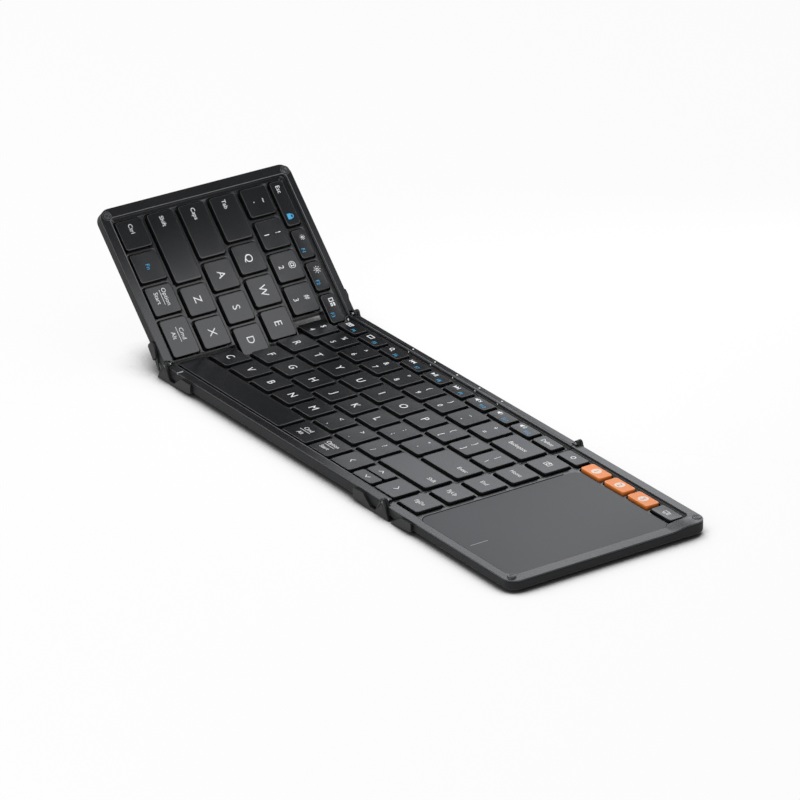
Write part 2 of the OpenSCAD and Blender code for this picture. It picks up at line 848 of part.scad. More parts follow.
module right_bumpers() {
    color("#1b1c1d") on_desk() {
        bumper(right_bumper_x, bumper_ys[0], border_z, 0.9);
        bumper(right_bumper_x, bumper_ys[1], rim_z, 0.1);
    }
}

module right_wing_brackets() {
    color("#2c2e30") on_desk() both_ends() at_fold(right_fold_x, 1)
        fold_bracket(leaf, ear_high - 0.3);
}

// Board under the touchpad with its chips, and a tongue under the function keys to the socket
module main_board() {
    top = floor_z + board_t;
    back = pad_y + pad_d - 2;
    color("#1f5a3c") on_desk() {
        box(pad_x + 4, pad_x + pad_w - 8, board_front, back, floor_z, top);
        box(usb_x - usb_w, usb_x + usb_w, back - 1, back_y - usb_in - usb_len, floor_z, top);
        for (chip = [[8, 8, 7, 7], [26, 6, 5, 5], [42, 16, 14, 10]])
            translate([pad_x + 4 + chip[0], board_front + chip[1], top - eps])
                cube([chip[2], chip[3], 0.9]);
    }
}

module usb_slot(grow) {
    r = usb_h / 2 + grow;
    for (s = [-1, 1]) translate([usb_x + s * (usb_w - usb_h) / 2, usb_z + usb_h / 2]) circle(r);
    translate([usb_x - (usb_w - usb_h) / 2, usb_z - grow]) square([usb_w - usb_h, 2 * r]);
}

module usb_opening(grow, y0, y1) {
    translate([0, y1, 0]) rotate([90, 0, 0]) linear_extrude(y1 - y0) usb_slot(grow);
}

// Open metal sleeve with a thin contact tongue inside
module usb_socket() {
    y1 = back_y - usb_in;
    y0 = y1 - usb_len;
    tongue = 6.7;
    mid = usb_z + usb_h / 2;
    color("#c4c7c9") on_desk() {
        difference() {
            usb_opening(0, y0, y1);
            usb_opening(-0.3, y0 + 0.6, y1 + 1);
        }
        box(usb_x - tongue / 2, usb_x + tongue / 2, y0 + 0.5, y1 - 1.2, mid - 0.35, mid + 0.35);
    }
}

module battery() {
    color("#5d6a72") on_desk() round_block(pad_x + battery_in, pad_x + pad_w - 1.5 * battery_in,
        pad_y + battery_in, battery_back, 1.5, floor_z, battery_z);
}

module touchpad_board() {
    color("#1f5a3c") on_desk() round_block(pad_x + 0.6, pad_x + pad_w - 0.6, pad_y + 0.6,
        pad_y + pad_d - 0.6, 4, pad_low, pad_z - pad_t);
}

// Click dome under the front of the touchpad's board
module touchpad_dome() {
    color("#c4c7c9") on_desk() translate([pad_x + pad_w / 2, click_y, floor_z])
        cylinder(h = pad_low - floor_z, r1 = 3.5, r2 = 2);
}

module touchpad() {
    color("#5c5e61") on_desk() pad_space(0, pad_z - pad_t, pad_z);
}

// ---- Key nodes ----

module escape_key() { color("#45484b") raised() keycap(left_fn_caps[0]); }
module left_function_keys() {
    color("#45484b") raised() keycaps([for (i = [1:3]) left_fn_caps[i]]);
}
module left_number_keys() { color("#45484b") raised() keycaps(left_row_caps(4)); }
module left_upper_keys() { color("#45484b") raised() keycaps(left_row_caps(3)); }
module left_home_keys() { color("#45484b") raised() keycaps(left_row_caps(2)); }
module left_lower_keys() { color("#45484b") raised() keycaps(left_row_caps(1)); }
module left_front_keys() { color("#45484b") raised() keycaps(left_row_caps(0)); }
module center_function_keys() { color("#45484b") on_desk() keycaps(center_fn_caps); }
module center_number_keys() { color("#45484b") on_desk() keycaps(center_row_caps(4)); }
module center_upper_keys() { color("#45484b") on_desk() keycaps(center_row_caps(3)); }
module center_home_keys() { color("#45484b") on_desk() keycaps(center_row_caps(2)); }
module center_lower_keys() { color("#45484b") on_desk() keycaps(center_row_caps(1)); }
module center_front_keys() {
    color("#45484b") on_desk() keycaps(concat(center_row_caps(0), arrow_caps));
}
module space_bar() { color("#45484b") on_desk() keycap(grid_cap(0, space_key, 0)); }
module backspace() { color("#45484b") on_desk() keycap(grid_cap(4, backspace_key, 0)); }
module enter() { color("#45484b") on_desk() keycap(grid_cap(2, enter_key, 0)); }
module right_shift() { color("#45484b") on_desk() keycap(grid_cap(1, shift_key, 0)); }
module page_keys() { color("#45484b") on_desk() keycaps(page_caps); }
module ring_key() { color("#45484b") on_desk() keycap(right_fn_caps[0]); }
module channel_1_key() { color("#f0904f") on_desk() keycap(right_fn_caps[1]); }
module channel_2_key() { color("#f0904f") on_desk() keycap(right_fn_caps[2]); }
module channel_3_key() { color("#f0904f") on_desk() keycap(right_fn_caps[3]); }
module device_key() { color("#45484b") on_desk() keycap(right_fn_caps[4]); }

center_bottom_shell();
center_top_frame();
center_support_plate();
center_membrane();
center_domes();
center_feet();
center_screws();
status_windows();
fold_magnet();
left_fold_posts();
left_fold_pins();
right_fold_posts();
right_fold_pins();
left_bottom_shell();
left_top_frame();
left_support_plate();
left_membrane();
left_domes();
left_feet();
left_screws();
left_bumpers();
left_wing_brackets();
right_bottom_shell();
right_top_frame();
right_support_plate();
right_membrane();
right_domes();
right_feet();
right_screws();
right_bumpers();
right_wing_brackets();
main_board();
usb_socket();
battery();
touchpad_board();
touchpad_dome();
touchpad();
escape_key();
left_function_keys();
left_number_keys();
left_upper_keys();
left_home_keys();
left_lower_keys();
left_front_keys();
center_function_keys();
center_number_keys();
center_upper_keys();
center_home_keys();
center_lower_keys();
center_front_keys();
space_bar();
backspace();
enter();
right_shift();
page_keys();
ring_key();
channel_1_key();
channel_2_key();
channel_3_key();
device_key();
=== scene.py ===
import bmesh
import bpy
import json
import math
import numpy as np
from mathutils import Matrix, Vector


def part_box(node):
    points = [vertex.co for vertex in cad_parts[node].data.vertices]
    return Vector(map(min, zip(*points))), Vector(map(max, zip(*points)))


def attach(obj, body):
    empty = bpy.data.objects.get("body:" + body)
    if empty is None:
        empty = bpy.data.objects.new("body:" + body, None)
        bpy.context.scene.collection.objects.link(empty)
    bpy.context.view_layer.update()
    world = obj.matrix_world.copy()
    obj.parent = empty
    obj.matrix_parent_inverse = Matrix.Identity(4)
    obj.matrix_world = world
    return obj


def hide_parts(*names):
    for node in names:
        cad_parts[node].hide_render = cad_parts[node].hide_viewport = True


# Folding keyboard: looks of the keycaps, legends, shells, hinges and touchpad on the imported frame.
# Flat drawing space: millimetres, X and Y from the front left corner of the key grid, Z from the
# desk, with both wings laid flat. place() carries a piece from there to the frame's metres.

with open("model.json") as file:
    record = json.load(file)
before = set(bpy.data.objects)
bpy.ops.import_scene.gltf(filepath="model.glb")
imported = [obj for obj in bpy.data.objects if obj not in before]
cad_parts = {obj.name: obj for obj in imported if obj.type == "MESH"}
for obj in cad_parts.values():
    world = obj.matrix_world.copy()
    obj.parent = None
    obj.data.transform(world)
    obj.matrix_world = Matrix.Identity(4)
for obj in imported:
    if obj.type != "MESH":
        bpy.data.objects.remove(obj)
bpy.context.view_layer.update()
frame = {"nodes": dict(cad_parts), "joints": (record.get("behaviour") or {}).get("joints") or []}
mm = 0.001  # metres in a millimetre
sectionBodies = {"left": "left_wing", "center": "center", "right": "right_wing"}

keyGrid = {
    "pitch": 19.0, "gapX": 2.9, "gapY": 3.5,
    "functionY": 96.0, "functionDepth": 8.0,
    "arrowGap": 1.2,
    "pageX": 276.4, "rightFunctionX": 277.6, "rightFunctionPitch": 18.9,
}

joints = {j["name"]: j for j in frame["joints"]}
spaceLow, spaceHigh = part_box("space_bar")
# the space bar starts 4.25 keys from the grid's left edge, in its front row
originX = spaceLow.x / mm - 4.25 * keyGrid["pitch"] - keyGrid["gapX"] / 2
originY = spaceLow.y / mm - keyGrid["gapY"] / 2
foldX, foldZ = (joints["left_fold"]["pos_m"][i] / mm for i in (0, 2))
wingAngle = math.radians(-joints["left_fold"]["range_deg"][0])
capTop = spaceHigh.z / mm
capLow = spaceLow.z / mm
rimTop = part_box("center_top_frame")[1].z / mm
print("frame loaded:", len(frame["nodes"]), "nodes")


def place(points, section):
    # flat drawing space to the frame in metres; the left wing turns about its fold line
    p = np.array(points, float)
    p[:, 0] += originX
    p[:, 1] += originY
    if section == "left":
        x, z = p[:, 0] - foldX, p[:, 2] - foldZ
        p[:, 0] = foldX + x * math.cos(wingAngle) + z * math.sin(wingAngle)
        p[:, 2] = foldZ - x * math.sin(wingAngle) + z * math.cos(wingAngle)
    return p * mm


def newPiece(name, points, faces, section, body, material, smooth=True):
    # a mesh drawn in flat space, riding on a body
    mesh = bpy.data.meshes.new(name)
    mesh.from_pydata(place(points, section).tolist(), [], [list(map(int, f)) for f in faces])
    mesh.update()
    if smooth:
        mesh.shade_smooth()
    else:
        mesh.shade_flat()
    mesh.materials.append(material)
    piece = bpy.data.objects.new(name, mesh)
    bpy.context.scene.collection.objects.link(piece)
    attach(piece, body)
    return piece


def paint(piece, values):
    # how strongly each point takes the painted highlight, read by the plastics
    mark = piece.data.attributes.new("paintedHighlight", "FLOAT", "POINT")
    mark.data.foreach_set("value", values.astype(np.float32))


# Materials: colours are sRGB hex, sizes of patterns are millimetres.

def linear(hexText):
    # sRGB hex to linear RGBA
    s = np.array([int(hexText[i:i + 2], 16) for i in (1, 3, 5)]) / 255
    low, high = s / 12.92, ((s + 0.055) / 1.055) ** 2.4
    return (*np.where(s <= 0.04045, low, high).tolist(), 1.0)


def addNode(tree, kind, settings=None, links=None):
    # lower-case names are the node's own settings, the rest are inputs; links join other nodes
    node = tree.nodes.new(kind)
    for key, value in (settings or {}).items():
        if isinstance(key, str) and key[0].islower():
            setattr(node, key, value)
        else:
            node.inputs[key].default_value = value
    for key, socket in (links or {}).items():
        tree.links.new(socket, node.inputs[key])
    return node


def startMaterial(name, settings):
    # a material whose shader has the even values set, with its Object coordinates
    material = bpy.data.materials.new(name)
    material.use_nodes = True
    tree = material.node_tree
    shader = tree.nodes["Principled BSDF"]
    for key, value in settings.items():
        shader.inputs[key].default_value = value
    coordinates = addNode(tree, "ShaderNodeTexCoord").outputs["Object"]
    return material, tree, shader, coordinates


def patchyColour(tree, shader, colours, sizeMm, detail, where):
    # base colour that drifts between two in soft patches; gives the noise that drives it
    noise = addNode(tree, "ShaderNodeTexNoise", {"Scale": 1 / (sizeMm * mm), "Detail": detail},
                    {"Vector": where})
    mix = addNode(tree, "ShaderNodeMix", {"data_type": "RGBA", 6: linear(colours[0]),
                                          7: linear(colours[1])}, {0: noise.outputs["Fac"]})
    tree.links.new(mix.outputs[2], shader.inputs["Base Color"])
    return noise


def mouldedPlastic(name, look):
    # Injection moulding: spark-eroded grain, faint cloudy sheen from the mould, painted highlights
    # on edges.
    # Real grain of about 0.1 mm wouldn't show, so it is drawn at 0.5 to 0.8 mm.
    material, tree, shader, where = startMaterial(name, {
        "IOR": 1.53, "Specular IOR Level": look.get("specular", 0.5)})
    cloud, grain = (addNode(tree, "ShaderNodeTexNoise",
                            {"Scale": 1 / (size * mm), "Detail": detail}, {"Vector": where})
                    for size, detail in ((look["cloudMm"], 3.0), (look["grainMm"], 2.0)))
    tint = addNode(tree, "ShaderNodeMix", {"data_type": "RGBA", 6: linear(look["colour"]),
                                           7: linear(look["light"])}, {0: cloud.outputs["Fac"]})
    speck = addNode(tree, "ShaderNodeMapRange", {"From Min": 0.3, "From Max": 0.7,
                                                 "To Min": 0.0, "To Max": 0.25},
                    {"Value": grain.outputs["Fac"]})
    dotted = addNode(tree, "ShaderNodeMix", {"data_type": "RGBA", 7: linear(look["speckColour"])},
                     {0: speck.outputs["Result"], 6: tint.outputs[2]})
    # painted highlight: a paler colour mixed in by each point's mask, standing in for light caught
    # on edges
    highlightMask = addNode(tree, "ShaderNodeAttribute", {"attribute_name": "paintedHighlight"})
    paintedHighlight = addNode(tree, "ShaderNodeMix", {"data_type": "RGBA", 7: linear(look["paintedHighlight"])},
                     {0: highlightMask.outputs["Fac"], 6: dotted.outputs[2]})
    tree.links.new(paintedHighlight.outputs[2], shader.inputs["Base Color"])
    rough = addNode(tree, "ShaderNodeMapRange", {"From Min": 0.25, "From Max": 0.75,
                                                 "To Min": look["roughness"][0],
                                                 "To Max": look["roughness"][1]},
                    {"Value": cloud.outputs["Fac"]})
    tree.links.new(rough.outputs["Result"], shader.inputs["Roughness"])
    bump = addNode(tree, "ShaderNodeBump", {"Strength": look["bump"], "Distance": 0.05 * mm},
                   {"Height": grain.outputs["Fac"]})
    tree.links.new(bump.outputs["Normal"], shader.inputs["Normal"])
    return material


# caps: fine satin etch, so the tops turn from black to grey where they mirror the light; their pale
# colour is a painted highlight on the round top edges
capPlastic = mouldedPlastic("matteAbsKeycap", {
    "colour": "#151618", "light": "#191a1c", "speckColour": "#1f2022", "paintedHighlight": "#77787b",
    "cloudMm": 26, "grainMm": 0.7, "roughness": (0.21, 0.24), "bump": 0.07})
# orange caps: the same moulding coloured through, a little duller, with the same painted highlight
# on the top edges
orangePlastic = mouldedPlastic("orangeAbsKeycap", {
    "colour": "#ee8130", "light": "#f08838", "speckColour": "#f29448", "paintedHighlight": "#f8b07c",
    "cloudMm": 20, "grainMm": 0.7, "roughness": (0.38, 0.45), "bump": 0.12})
# frames: satin like the caps, with a slightly rougher etch; its pale colour is the painted highlight
# on the well lips
framePlastic = mouldedPlastic("satinAbsTopFrame", {
    "colour": "#151618", "light": "#191a1c", "speckColour": "#202123", "paintedHighlight": "#5c5d60",
    "cloudMm": 40, "grainMm": 0.6, "roughness": (0.24, 0.28), "bump": 0.08})
# right frame: its wide border round the touchpad takes a stronger sheen from a higher specular
# level, and its base colour is paler than the other frames, painting in part of that sheen
borderPlastic = mouldedPlastic("satinAbsTouchpadBorder", {
    "colour": "#1c1d20", "light": "#202124", "speckColour": "#27282b", "paintedHighlight": "#3c3d40",
    "cloudMm": 40, "grainMm": 0.6, "roughness": (0.24, 0.28), "specular": 0.6, "bump": 0.08})
# bottom shells: coarse texture that hides scratches and hardly shines
shellPlastic = mouldedPlastic("texturedAbsBottomShell", {
    "colour": "#18191b", "light": "#1c1d1f", "speckColour": "#242527", "paintedHighlight": "#2c2d2f",
    "cloudMm": 45, "grainMm": 0.8, "roughness": (0.5, 0.6), "specular": 0.22, "bump": 0.5})
# hinge posts and brackets: paler fibre ends at the surface break up the sheen
hingePlastic = mouldedPlastic("glassFilledNylonHinge", {
    "colour": "#141516", "light": "#1a1b1c", "speckColour": "#2a2b2c", "paintedHighlight": "#303132",
    "cloudMm": 9, "grainMm": 0.5, "roughness": (0.36, 0.46), "specular": 0.3, "bump": 0.4})
# bumpers and feet: smooth dark rubber with a soft highlight; its pale colour is a painted highlight
# on the bumpers' ring tops and button edges
rubber = mouldedPlastic("siliconeRubberFoot", {
    "colour": "#101011", "light": "#161617", "speckColour": "#1c1c1d", "paintedHighlight": "#55565a",
    "cloudMm": 6, "grainMm": 0.5, "roughness": (0.22, 0.3), "bump": 0.1})
# touchpad: very even matte film with one broad dull reflection
padFilm = mouldedPlastic("mattePolyesterTouchFilm", {
    "colour": "#1d1e21", "light": "#202124", "speckColour": "#28292c", "paintedHighlight": "#2b2c2e",
    "cloudMm": 60, "grainMm": 0.6, "roughness": (0.27, 0.3), "specular": 0.27, "bump": 0.04})


def inkMaterial(name, colour, pale):
    # Pad-printed ink: nearly one colour, very slightly uneven where the pad lifted
    material, tree, shader, where = startMaterial(name, {"Roughness": 0.55, "IOR": 1.5})
    patchyColour(tree, shader, (colour, pale), 0.9, 2.0, where)
    return material


# white and blue legends, cream discs with orange digits, and the line on the touchpad
whiteInk = inkMaterial("whitePadPrintedInk", "#dfe0e2", "#eaebec")
creamInk = inkMaterial("creamPadPrintedInk", "#ead6c6", "#efdfd2")
grayInk = inkMaterial("grayPadPrintedInk", "#9a9da0", "#a6a9ac")
blueInk = inkMaterial("bluePadPrintedInk", "#2a93c6", "#3fa9da")
orangeInk = inkMaterial("orangePadPrintedInk", "#c2703a", "#cf8350")


def metalMaterial(name, colour, dark, roughness, grainMm):
    # Drawn or stamped steel: fine streaks, stretched along X, a little darker and duller in them
    material, tree, shader, where = startMaterial(name, {"Metallic": 1.0})
    stretch = addNode(tree, "ShaderNodeVectorMath", {"operation": "MULTIPLY", 1: (0.08, 1.0, 1.0)},
                      {0: where})
    streak = patchyColour(tree, shader, (colour, dark), grainMm, 3.0, stretch.outputs["Vector"])
    rough = addNode(tree, "ShaderNodeMapRange", {"To Min": roughness - 0.06,
                                                 "To Max": roughness + 0.1},
                    {"Value": streak.outputs["Fac"]})
    tree.links.new(rough.outputs["Result"], shader.inputs["Roughness"])
    return material


# pins ground bright, plates stamped and duller, screws blackened, socket plated
pinSteel = metalMaterial("groundStainlessPin", "#a6a8ab", "#85888b", 0.3, 0.3)
plateSteel = metalMaterial("stampedSteelPlate", "#9fa2a4", "#83868a", 0.4, 0.5)
screwSteel = metalMaterial("blackOxideScrew", "#3a3b3d", "#2b2c2e", 0.38, 0.3)
socketSteel = metalMaterial("tinnedSteelSocket", "#c9cbcd", "#aeb1b4", 0.28, 0.4)


def sheetMaterial(name, colour, pale, patchMm, settings):
    # Thin film, board or foil: its own colour with soft patches
    material, tree, shader, where = startMaterial(name, settings)
    patchyColour(tree, shader, (colour, pale), patchMm, 4.0, where)
    return material


# milky rubber, film made near-black as painted shade so the open fold seam reads dark, green
# lacquered boards, foil round the cell, clouded light windows
domeRubber = sheetMaterial("milkySiliconeDome", "#c6c6bf", "#d6d6d0", 3, {"Roughness": 0.5})
keyFilm = sheetMaterial("shadeDarkPolyesterMembrane", "#0d0e0f", "#131415", 5, {"Roughness": 0.5})
boardGreen = sheetMaterial("solderMaskBoard", "#154a30", "#1d5a3b", 4, {"Roughness": 0.3})
batteryFoil = sheetMaterial("pouchCellFoil", "#8d989e", "#a3adb3", 6,
                            {"Roughness": 0.35, "Metallic": 0.7})
windowAcrylic = sheetMaterial("milkyAcrylicWindow", "#f1f3f4", "#fdfdfd", 1, {"Roughness": 0.25})
print("materials made:", len(bpy.data.materials))


# Keycaps: one piece for each CAD node of keys.

capShape = {
    "cornerRadius": 1.4, "draft": 0.06, "edgeRadius": 0.22, "dish": 0.07, "wallThickness": 0.85,
    "wallDraft": 0.1, "ceilingHeight": 1.0, "bossRadius": 1.3, "bossHeight": 0.3,
    "leastRadius": 0.4, "cornerSteps": 5, "sideSteps": 3, "edgeSteps": 4,
    "dishRings": (0.96, 0.86, 0.62, 0.34),  # sizes of the rings on the top face over its edge
    # share of the painted highlight on the round top edge
    "edgeHighlight": 0.3,
}


def roundedLoop(x0, x1, y0, y1, r, cornerSteps, sideSteps):
    # points round a rectangle with round corners, counterclockwise: four arcs and straight sides
    centres = np.array([[x1 - r, y0 + r], [x1 - r, y1 - r], [x0 + r, y1 - r], [x0 + r, y0 + r]])
    turns = np.linspace(0, 1, cornerSteps + 1)
    arcs = [c + r * np.column_stack((np.cos(a), np.sin(a)))
            for c, a in zip(centres, [(k - 1 + turns) * math.pi / 2 for k in range(4)])]
    share = np.arange(1, sideSteps + 1)[:, None] / (sideSteps + 1)
    sides = [arcs[k][-1] + share * (arcs[(k + 1) % 4][0] - arcs[k][-1]) for k in range(4)]
    return np.vstack([part for pair in zip(arcs, sides) for part in pair])


def closedRings(rings, lowPole, highPole):
    # rings of equal length from the lower pole to the upper one, joined by quads and two fans
    n, m = len(rings[0]), len(rings)
    points = np.vstack([[lowPole], *rings, [highPole]])
    i, j = np.meshgrid(np.arange(m - 1), np.arange(n), indexing="ij")
    a = 1 + i * n + j
    b = 1 + i * n + (j + 1) % n
    quads = np.stack((a, b, b + n, a + n), -1).reshape(-1, 4)
    k = np.arange(n)
    low = np.column_stack((np.zeros(n, int), 1 + (k + 1) % n, 1 + k))
    top = 1 + (m - 1) * n
    high = np.column_stack((np.full(n, top + n), top + k, top + (k + 1) % n))
    return points, quads.tolist() + low.tolist() + high.tolist()


def dishDepth(x, y, box):
    # height taken off the top face: deepest in the middle, none at the edges
    x0, x1, y0, y1 = box
    u = (2 * x - x0 - x1) / (x1 - x0)
    v = (2 * y - y0 - y1) / (y1 - y0)
    return capShape["dish"] * np.clip(1 - u * u, 0, 1) * np.clip(1 - v * v, 0, 1)


def keycap(box):
    # hollow cap: plunger boss, ceiling, inner wall, drafted outside, round top edge and dished top
    s = capShape
    x0, x1, y0, y1 = box
    middle = np.array([(x0 + x1) / 2, (y0 + y1) / 2])

    def loop(inset, z):
        flat = roundedLoop(x0 + inset, x1 - inset, y0 + inset, y1 - inset,
                           max(s["cornerRadius"] - inset, s["leastRadius"]),
                           s["cornerSteps"], s["sideSteps"])
        return np.column_stack((flat, np.full(len(flat), z)))

    def circle(r, z):
        out = loop(0, z)
        away = out[:, :2] - middle
        out[:, :2] = middle + r * away / np.linalg.norm(away, axis=1)[:, None]
        return out

    skirt = capLow + s["bossHeight"]
    ceiling = capTop - s["ceilingHeight"]
    wall = s["wallThickness"]
    rings = [circle(s["bossRadius"], capLow), circle(s["bossRadius"], ceiling),
             loop(wall, ceiling), loop(wall - s["wallDraft"], skirt), loop(0, skirt),
             loop(s["draft"], capTop - s["edgeRadius"])]
    for t in np.linspace(0, math.pi / 2, s["edgeSteps"] + 1)[1:]:
        rings.append(loop(s["draft"] + s["edgeRadius"] * (1 - math.cos(t)),
                          capTop - s["edgeRadius"] * (1 - math.sin(t))))
    edge = rings[-1]
    for scale in s["dishRings"]:
        ring = edge.copy()
        ring[:, :2] = middle + scale * (edge[:, :2] - middle)
        ring[:, 2] -= dishDepth(ring[:, 0], ring[:, 1], box)
        rings.append(ring)
    points, faces = closedRings(rings, [*middle, capLow], [*middle, capTop - s["dish"]])
    paintedHighlight = np.zeros(len(points))
    n = len(edge)
    # painted highlight on the round top edge, standing in for light caught there
    paintedHighlight[1 + 7 * n:1 + 9 * n] = s["edgeHighlight"]  # the two middle rings of the round top edge
    return points, faces, paintedHighlight


def capBox(row, u0, u1):
    # left, right, front and back edge of a cap, from its places in the grid
    g = keyGrid
    return (u0 * g["pitch"] + g["gapX"] / 2, u1 * g["pitch"] - g["gapX"] / 2,
            row * g["pitch"] + g["gapY"] / 2, (row + 1) * g["pitch"] - g["gapY"] / 2)


def functionBox(u0, u1):
    g = keyGrid
    return (u0 * g["pitch"] + g["gapX"] / 2, u1 * g["pitch"] - g["gapX"] / 2,
            g["functionY"], g["functionY"] + g["functionDepth"])


def rightFunctionBox(i):
    g = keyGrid
    x = g["rightFunctionX"] + i * g["rightFunctionPitch"] + g["gapX"] / 2
    return (x, x + g["rightFunctionPitch"] - g["gapX"],
            g["functionY"], g["functionY"] + g["functionDepth"])


def arrowBox(half):
    g = keyGrid
    x0, x1, y0, y1 = capBox(0, 12.5, 13.5)
    depth = (y1 - y0 - g["arrowGap"]) / 2
    low = y0 + half * (depth + g["arrowGap"])
    return (x0, x1, low, low + depth)


def pageBox(row):
    g = keyGrid
    x = g["pageX"] + g["gapX"] / 2
    return (x, x + g["pitch"] - g["gapX"], *capBox(row, 0, 1)[2:])


def letterRow(row, start, legends):
    # caps of one key's width side by side
    return [(capBox(row, start + i, start + i + 1), text) for i, text in enumerate(legends)]


# Every key: node, section, then (box, legend). A legend is one character for a letter, two for a
# sign with the shifted one behind, a kind and its words, or the name of a drawn sign.
keyNodes = {
    "escape_key": ("left", [(functionBox(0, 1.5), "esc")]),
    "left_function_keys": ("left", [(functionBox(0.5 + n, 1.5 + n), f"F{n}") for n in (1, 2, 3)]),
    "left_number_keys": ("left", letterRow(4, 0, ["`~", "1!", "2@", "3#"])),
    "left_upper_keys": ("left", [(capBox(3, 0, 1.5), "left:Tab"), *letterRow(3, 1.5, "QWE")]),
    "left_home_keys": ("left", [(capBox(2, 0, 1.75), "left:Caps"), *letterRow(2, 1.75, "ASD")]),
    "left_lower_keys": ("left", [(capBox(1, 0, 2.25), "left:Shift"), *letterRow(1, 2.25, "ZX")]),
    "left_front_keys": ("left", [(capBox(0, 0, 1), "left:Ctrl"), (capBox(0, 1, 2), "blue:Fn"),
                                 (capBox(0, 2, 3), "over:Option/Start"),
                                 (capBox(0, 3, 4.25), "over:Cmd/Alt")]),
    "center_function_keys": ("center", [*((functionBox(0.5 + n, 1.5 + n), f"F{n}")
                                          for n in range(4, 13)),
                                        (functionBox(13.5, 14.5), "word:Delete")]),
    "center_number_keys": ("center", letterRow(4, 4, ["4$", "5%", "6^", "7&", "8*", "9(", "0)",
                                                      "-_", "=+"])),
    "center_upper_keys": ("center", letterRow(3, 4.5, [*"RTYUIOP", "[{", "]}", "\\|"])),
    "center_home_keys": ("center", letterRow(2, 4.75, [*"FGHJKL", ";:", "'\""])),
    "center_lower_keys": ("center", letterRow(1, 4.25, [*"CVBNM", ",<", ".>", "/?"])),
    "center_front_keys": ("center", [(capBox(0, 9.25, 10.5), "over:Cmd/Alt"),
                                     (capBox(0, 10.5, 11.5), "over:Option/Start"),
                                     (capBox(0, 11.5, 12.5), "arrow:180"),
                                     (capBox(0, 13.5, 14.5), "arrow:0"),
                                     (arrowBox(0), "arrow:-90"), (arrowBox(1), "arrow:90")]),
    "space_bar": ("center", [(capBox(0, 4.25, 9.25), "")]),
    "backspace": ("center", [(capBox(4, 13, 14.5), "word:Backspace")]),
    "enter": ("center", [(capBox(2, 12.75, 14.5), "right:Enter")]),
    "right_shift": ("center", [(capBox(1, 12.25, 14.5), "right:Shift")]),
    "page_keys": ("right", [(pageBox(0), "word:PgDn"), (pageBox(1), "word:PgUp"),
                            (pageBox(2), "word:End"), (pageBox(3), "word:Home"),
                            (pageBox(4), "camera")]),
    "ring_key": ("right", [(rightFunctionBox(0), "ring")]),
    "channel_1_key": ("right", [(rightFunctionBox(1), "disc:1")]),
    "channel_2_key": ("right", [(rightFunctionBox(2), "disc:2")]),
    "channel_3_key": ("right", [(rightFunctionBox(3), "disc:3")]),
    "device_key": ("right", [(rightFunctionBox(4), "devices")]),
}


def joinParts(parts):
    # stacks point arrays and shifts their faces' indices
    points, faces, count = [], [], 0
    for p, f in parts:
        points.append(p)
        faces += [[v + count for v in face] for face in f]
        count += len(p)
    return np.vstack(points), faces


for node, (section, keys) in keyNodes.items():
    caps = [keycap(box) for box, _ in keys]
    points, faces = joinParts([(p, f) for p, f, _ in caps])
    orange = node.startswith("channel")
    piece = newPiece(f"caps_{node}", points, faces, section, node,
                     orangePlastic if orange else capPlastic)
    # painted highlight along each cap's round top edge
    paint(piece, np.concatenate([r for _, _, r in caps]))
    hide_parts(node)
print("keycaps made:", sum(len(keys) for _, keys in keyNodes.values()))


# Legends: flat shapes laid on the dished tops and thickened to thin ink.

print2d = {
    "letterHeight": 4.5, "signHeight": 3.2, "wordHeight": 2.5, "smallHeight": 2.2,
    "discHeight": 3.0, "capitalShare": 0.73,  # height of a capital over the text's size
    "iconSize": 1.35, "stroke": 0.45, "curveSteps": 3, "discRadius": 2.7, "arrowSize": 3.0,
    "signShift": 3.5, "functionIconAt": (-3.4, 1.1), "functionTextAt": (3.6, -1.5),
    "escapeInset": 4.6, "lockInset": 5.2, "leftInset": 2.4, "rightInset": 2.6,
    "overX": -1.2, "overY": (2.5, -2.6), "overLine": (-5.4, 0.0, 3.0, 0.0, 0.26),
    "inkThickness": 0.03, "inkSink": 0.02, "digitLift": 0.06,
}
letterShapes = {}


def wantedTexts():
    # (text, capital height) of every text on the keys
    s = print2d
    wanted = {("Esc", s["wordHeight"])}
    for legend in (legend for _, keys in keyNodes.values() for _, legend in keys):
        if len(legend) == 1:
            wanted.add((legend, s["letterHeight"]))
        elif legend[:1] == "F":
            wanted.add((legend, s["smallHeight"]))
        elif len(legend) == 2:
            wanted |= {(sign, s["signHeight"]) for sign in legend}
        elif ":" in legend and not legend.startswith("arrow"):
            kind, words = legend.split(":")
            height = s["discHeight" if kind == "disc" else "wordHeight"]
            wanted |= {(word, height) for word in words.split("/")}
    return wanted


def makeLetterShapes():
    # each text once, as a flat mesh about its own middle
    made = []
    for text, height in sorted(wantedTexts()):
        curve = bpy.data.curves.new("letters", "FONT")
        curve.body, curve.size = text, height / print2d["capitalShare"]
        curve.align_x = "CENTER"
        curve.resolution_u = print2d["curveSteps"]
        thing = bpy.data.objects.new("letters", curve)
        bpy.context.scene.collection.objects.link(thing)
        made.append(((text, height), thing))
    bpy.context.view_layer.update()
    graph = bpy.context.evaluated_depsgraph_get()
    for key, thing in made:
        mesh = bpy.data.meshes.new_from_object(thing.evaluated_get(graph))
        flat = np.array([v.co[:2] for v in mesh.vertices])
        faces = [list(p.vertices) for p in mesh.polygons]
        flat[:, 0] -= (flat[:, 0].min() + flat[:, 0].max()) / 2
        flat[:, 1] -= key[1] / 2
        letterShapes[key] = (flat, faces)
        bpy.data.meshes.remove(mesh)
        curve = thing.data
        bpy.data.objects.remove(thing)
        bpy.data.curves.remove(curve)


def bar(x0, y0, x1, y1, width):
    # straight stroke between two points
    a, b = np.array([x0, y0], float), np.array([x1, y1], float)
    side = np.array([a[1] - b[1], b[0] - a[0]])
    side *= width / 2 / np.linalg.norm(side)
    return np.array([a - side, b - side, b + side, a + side]), [[0, 1, 2, 3]]


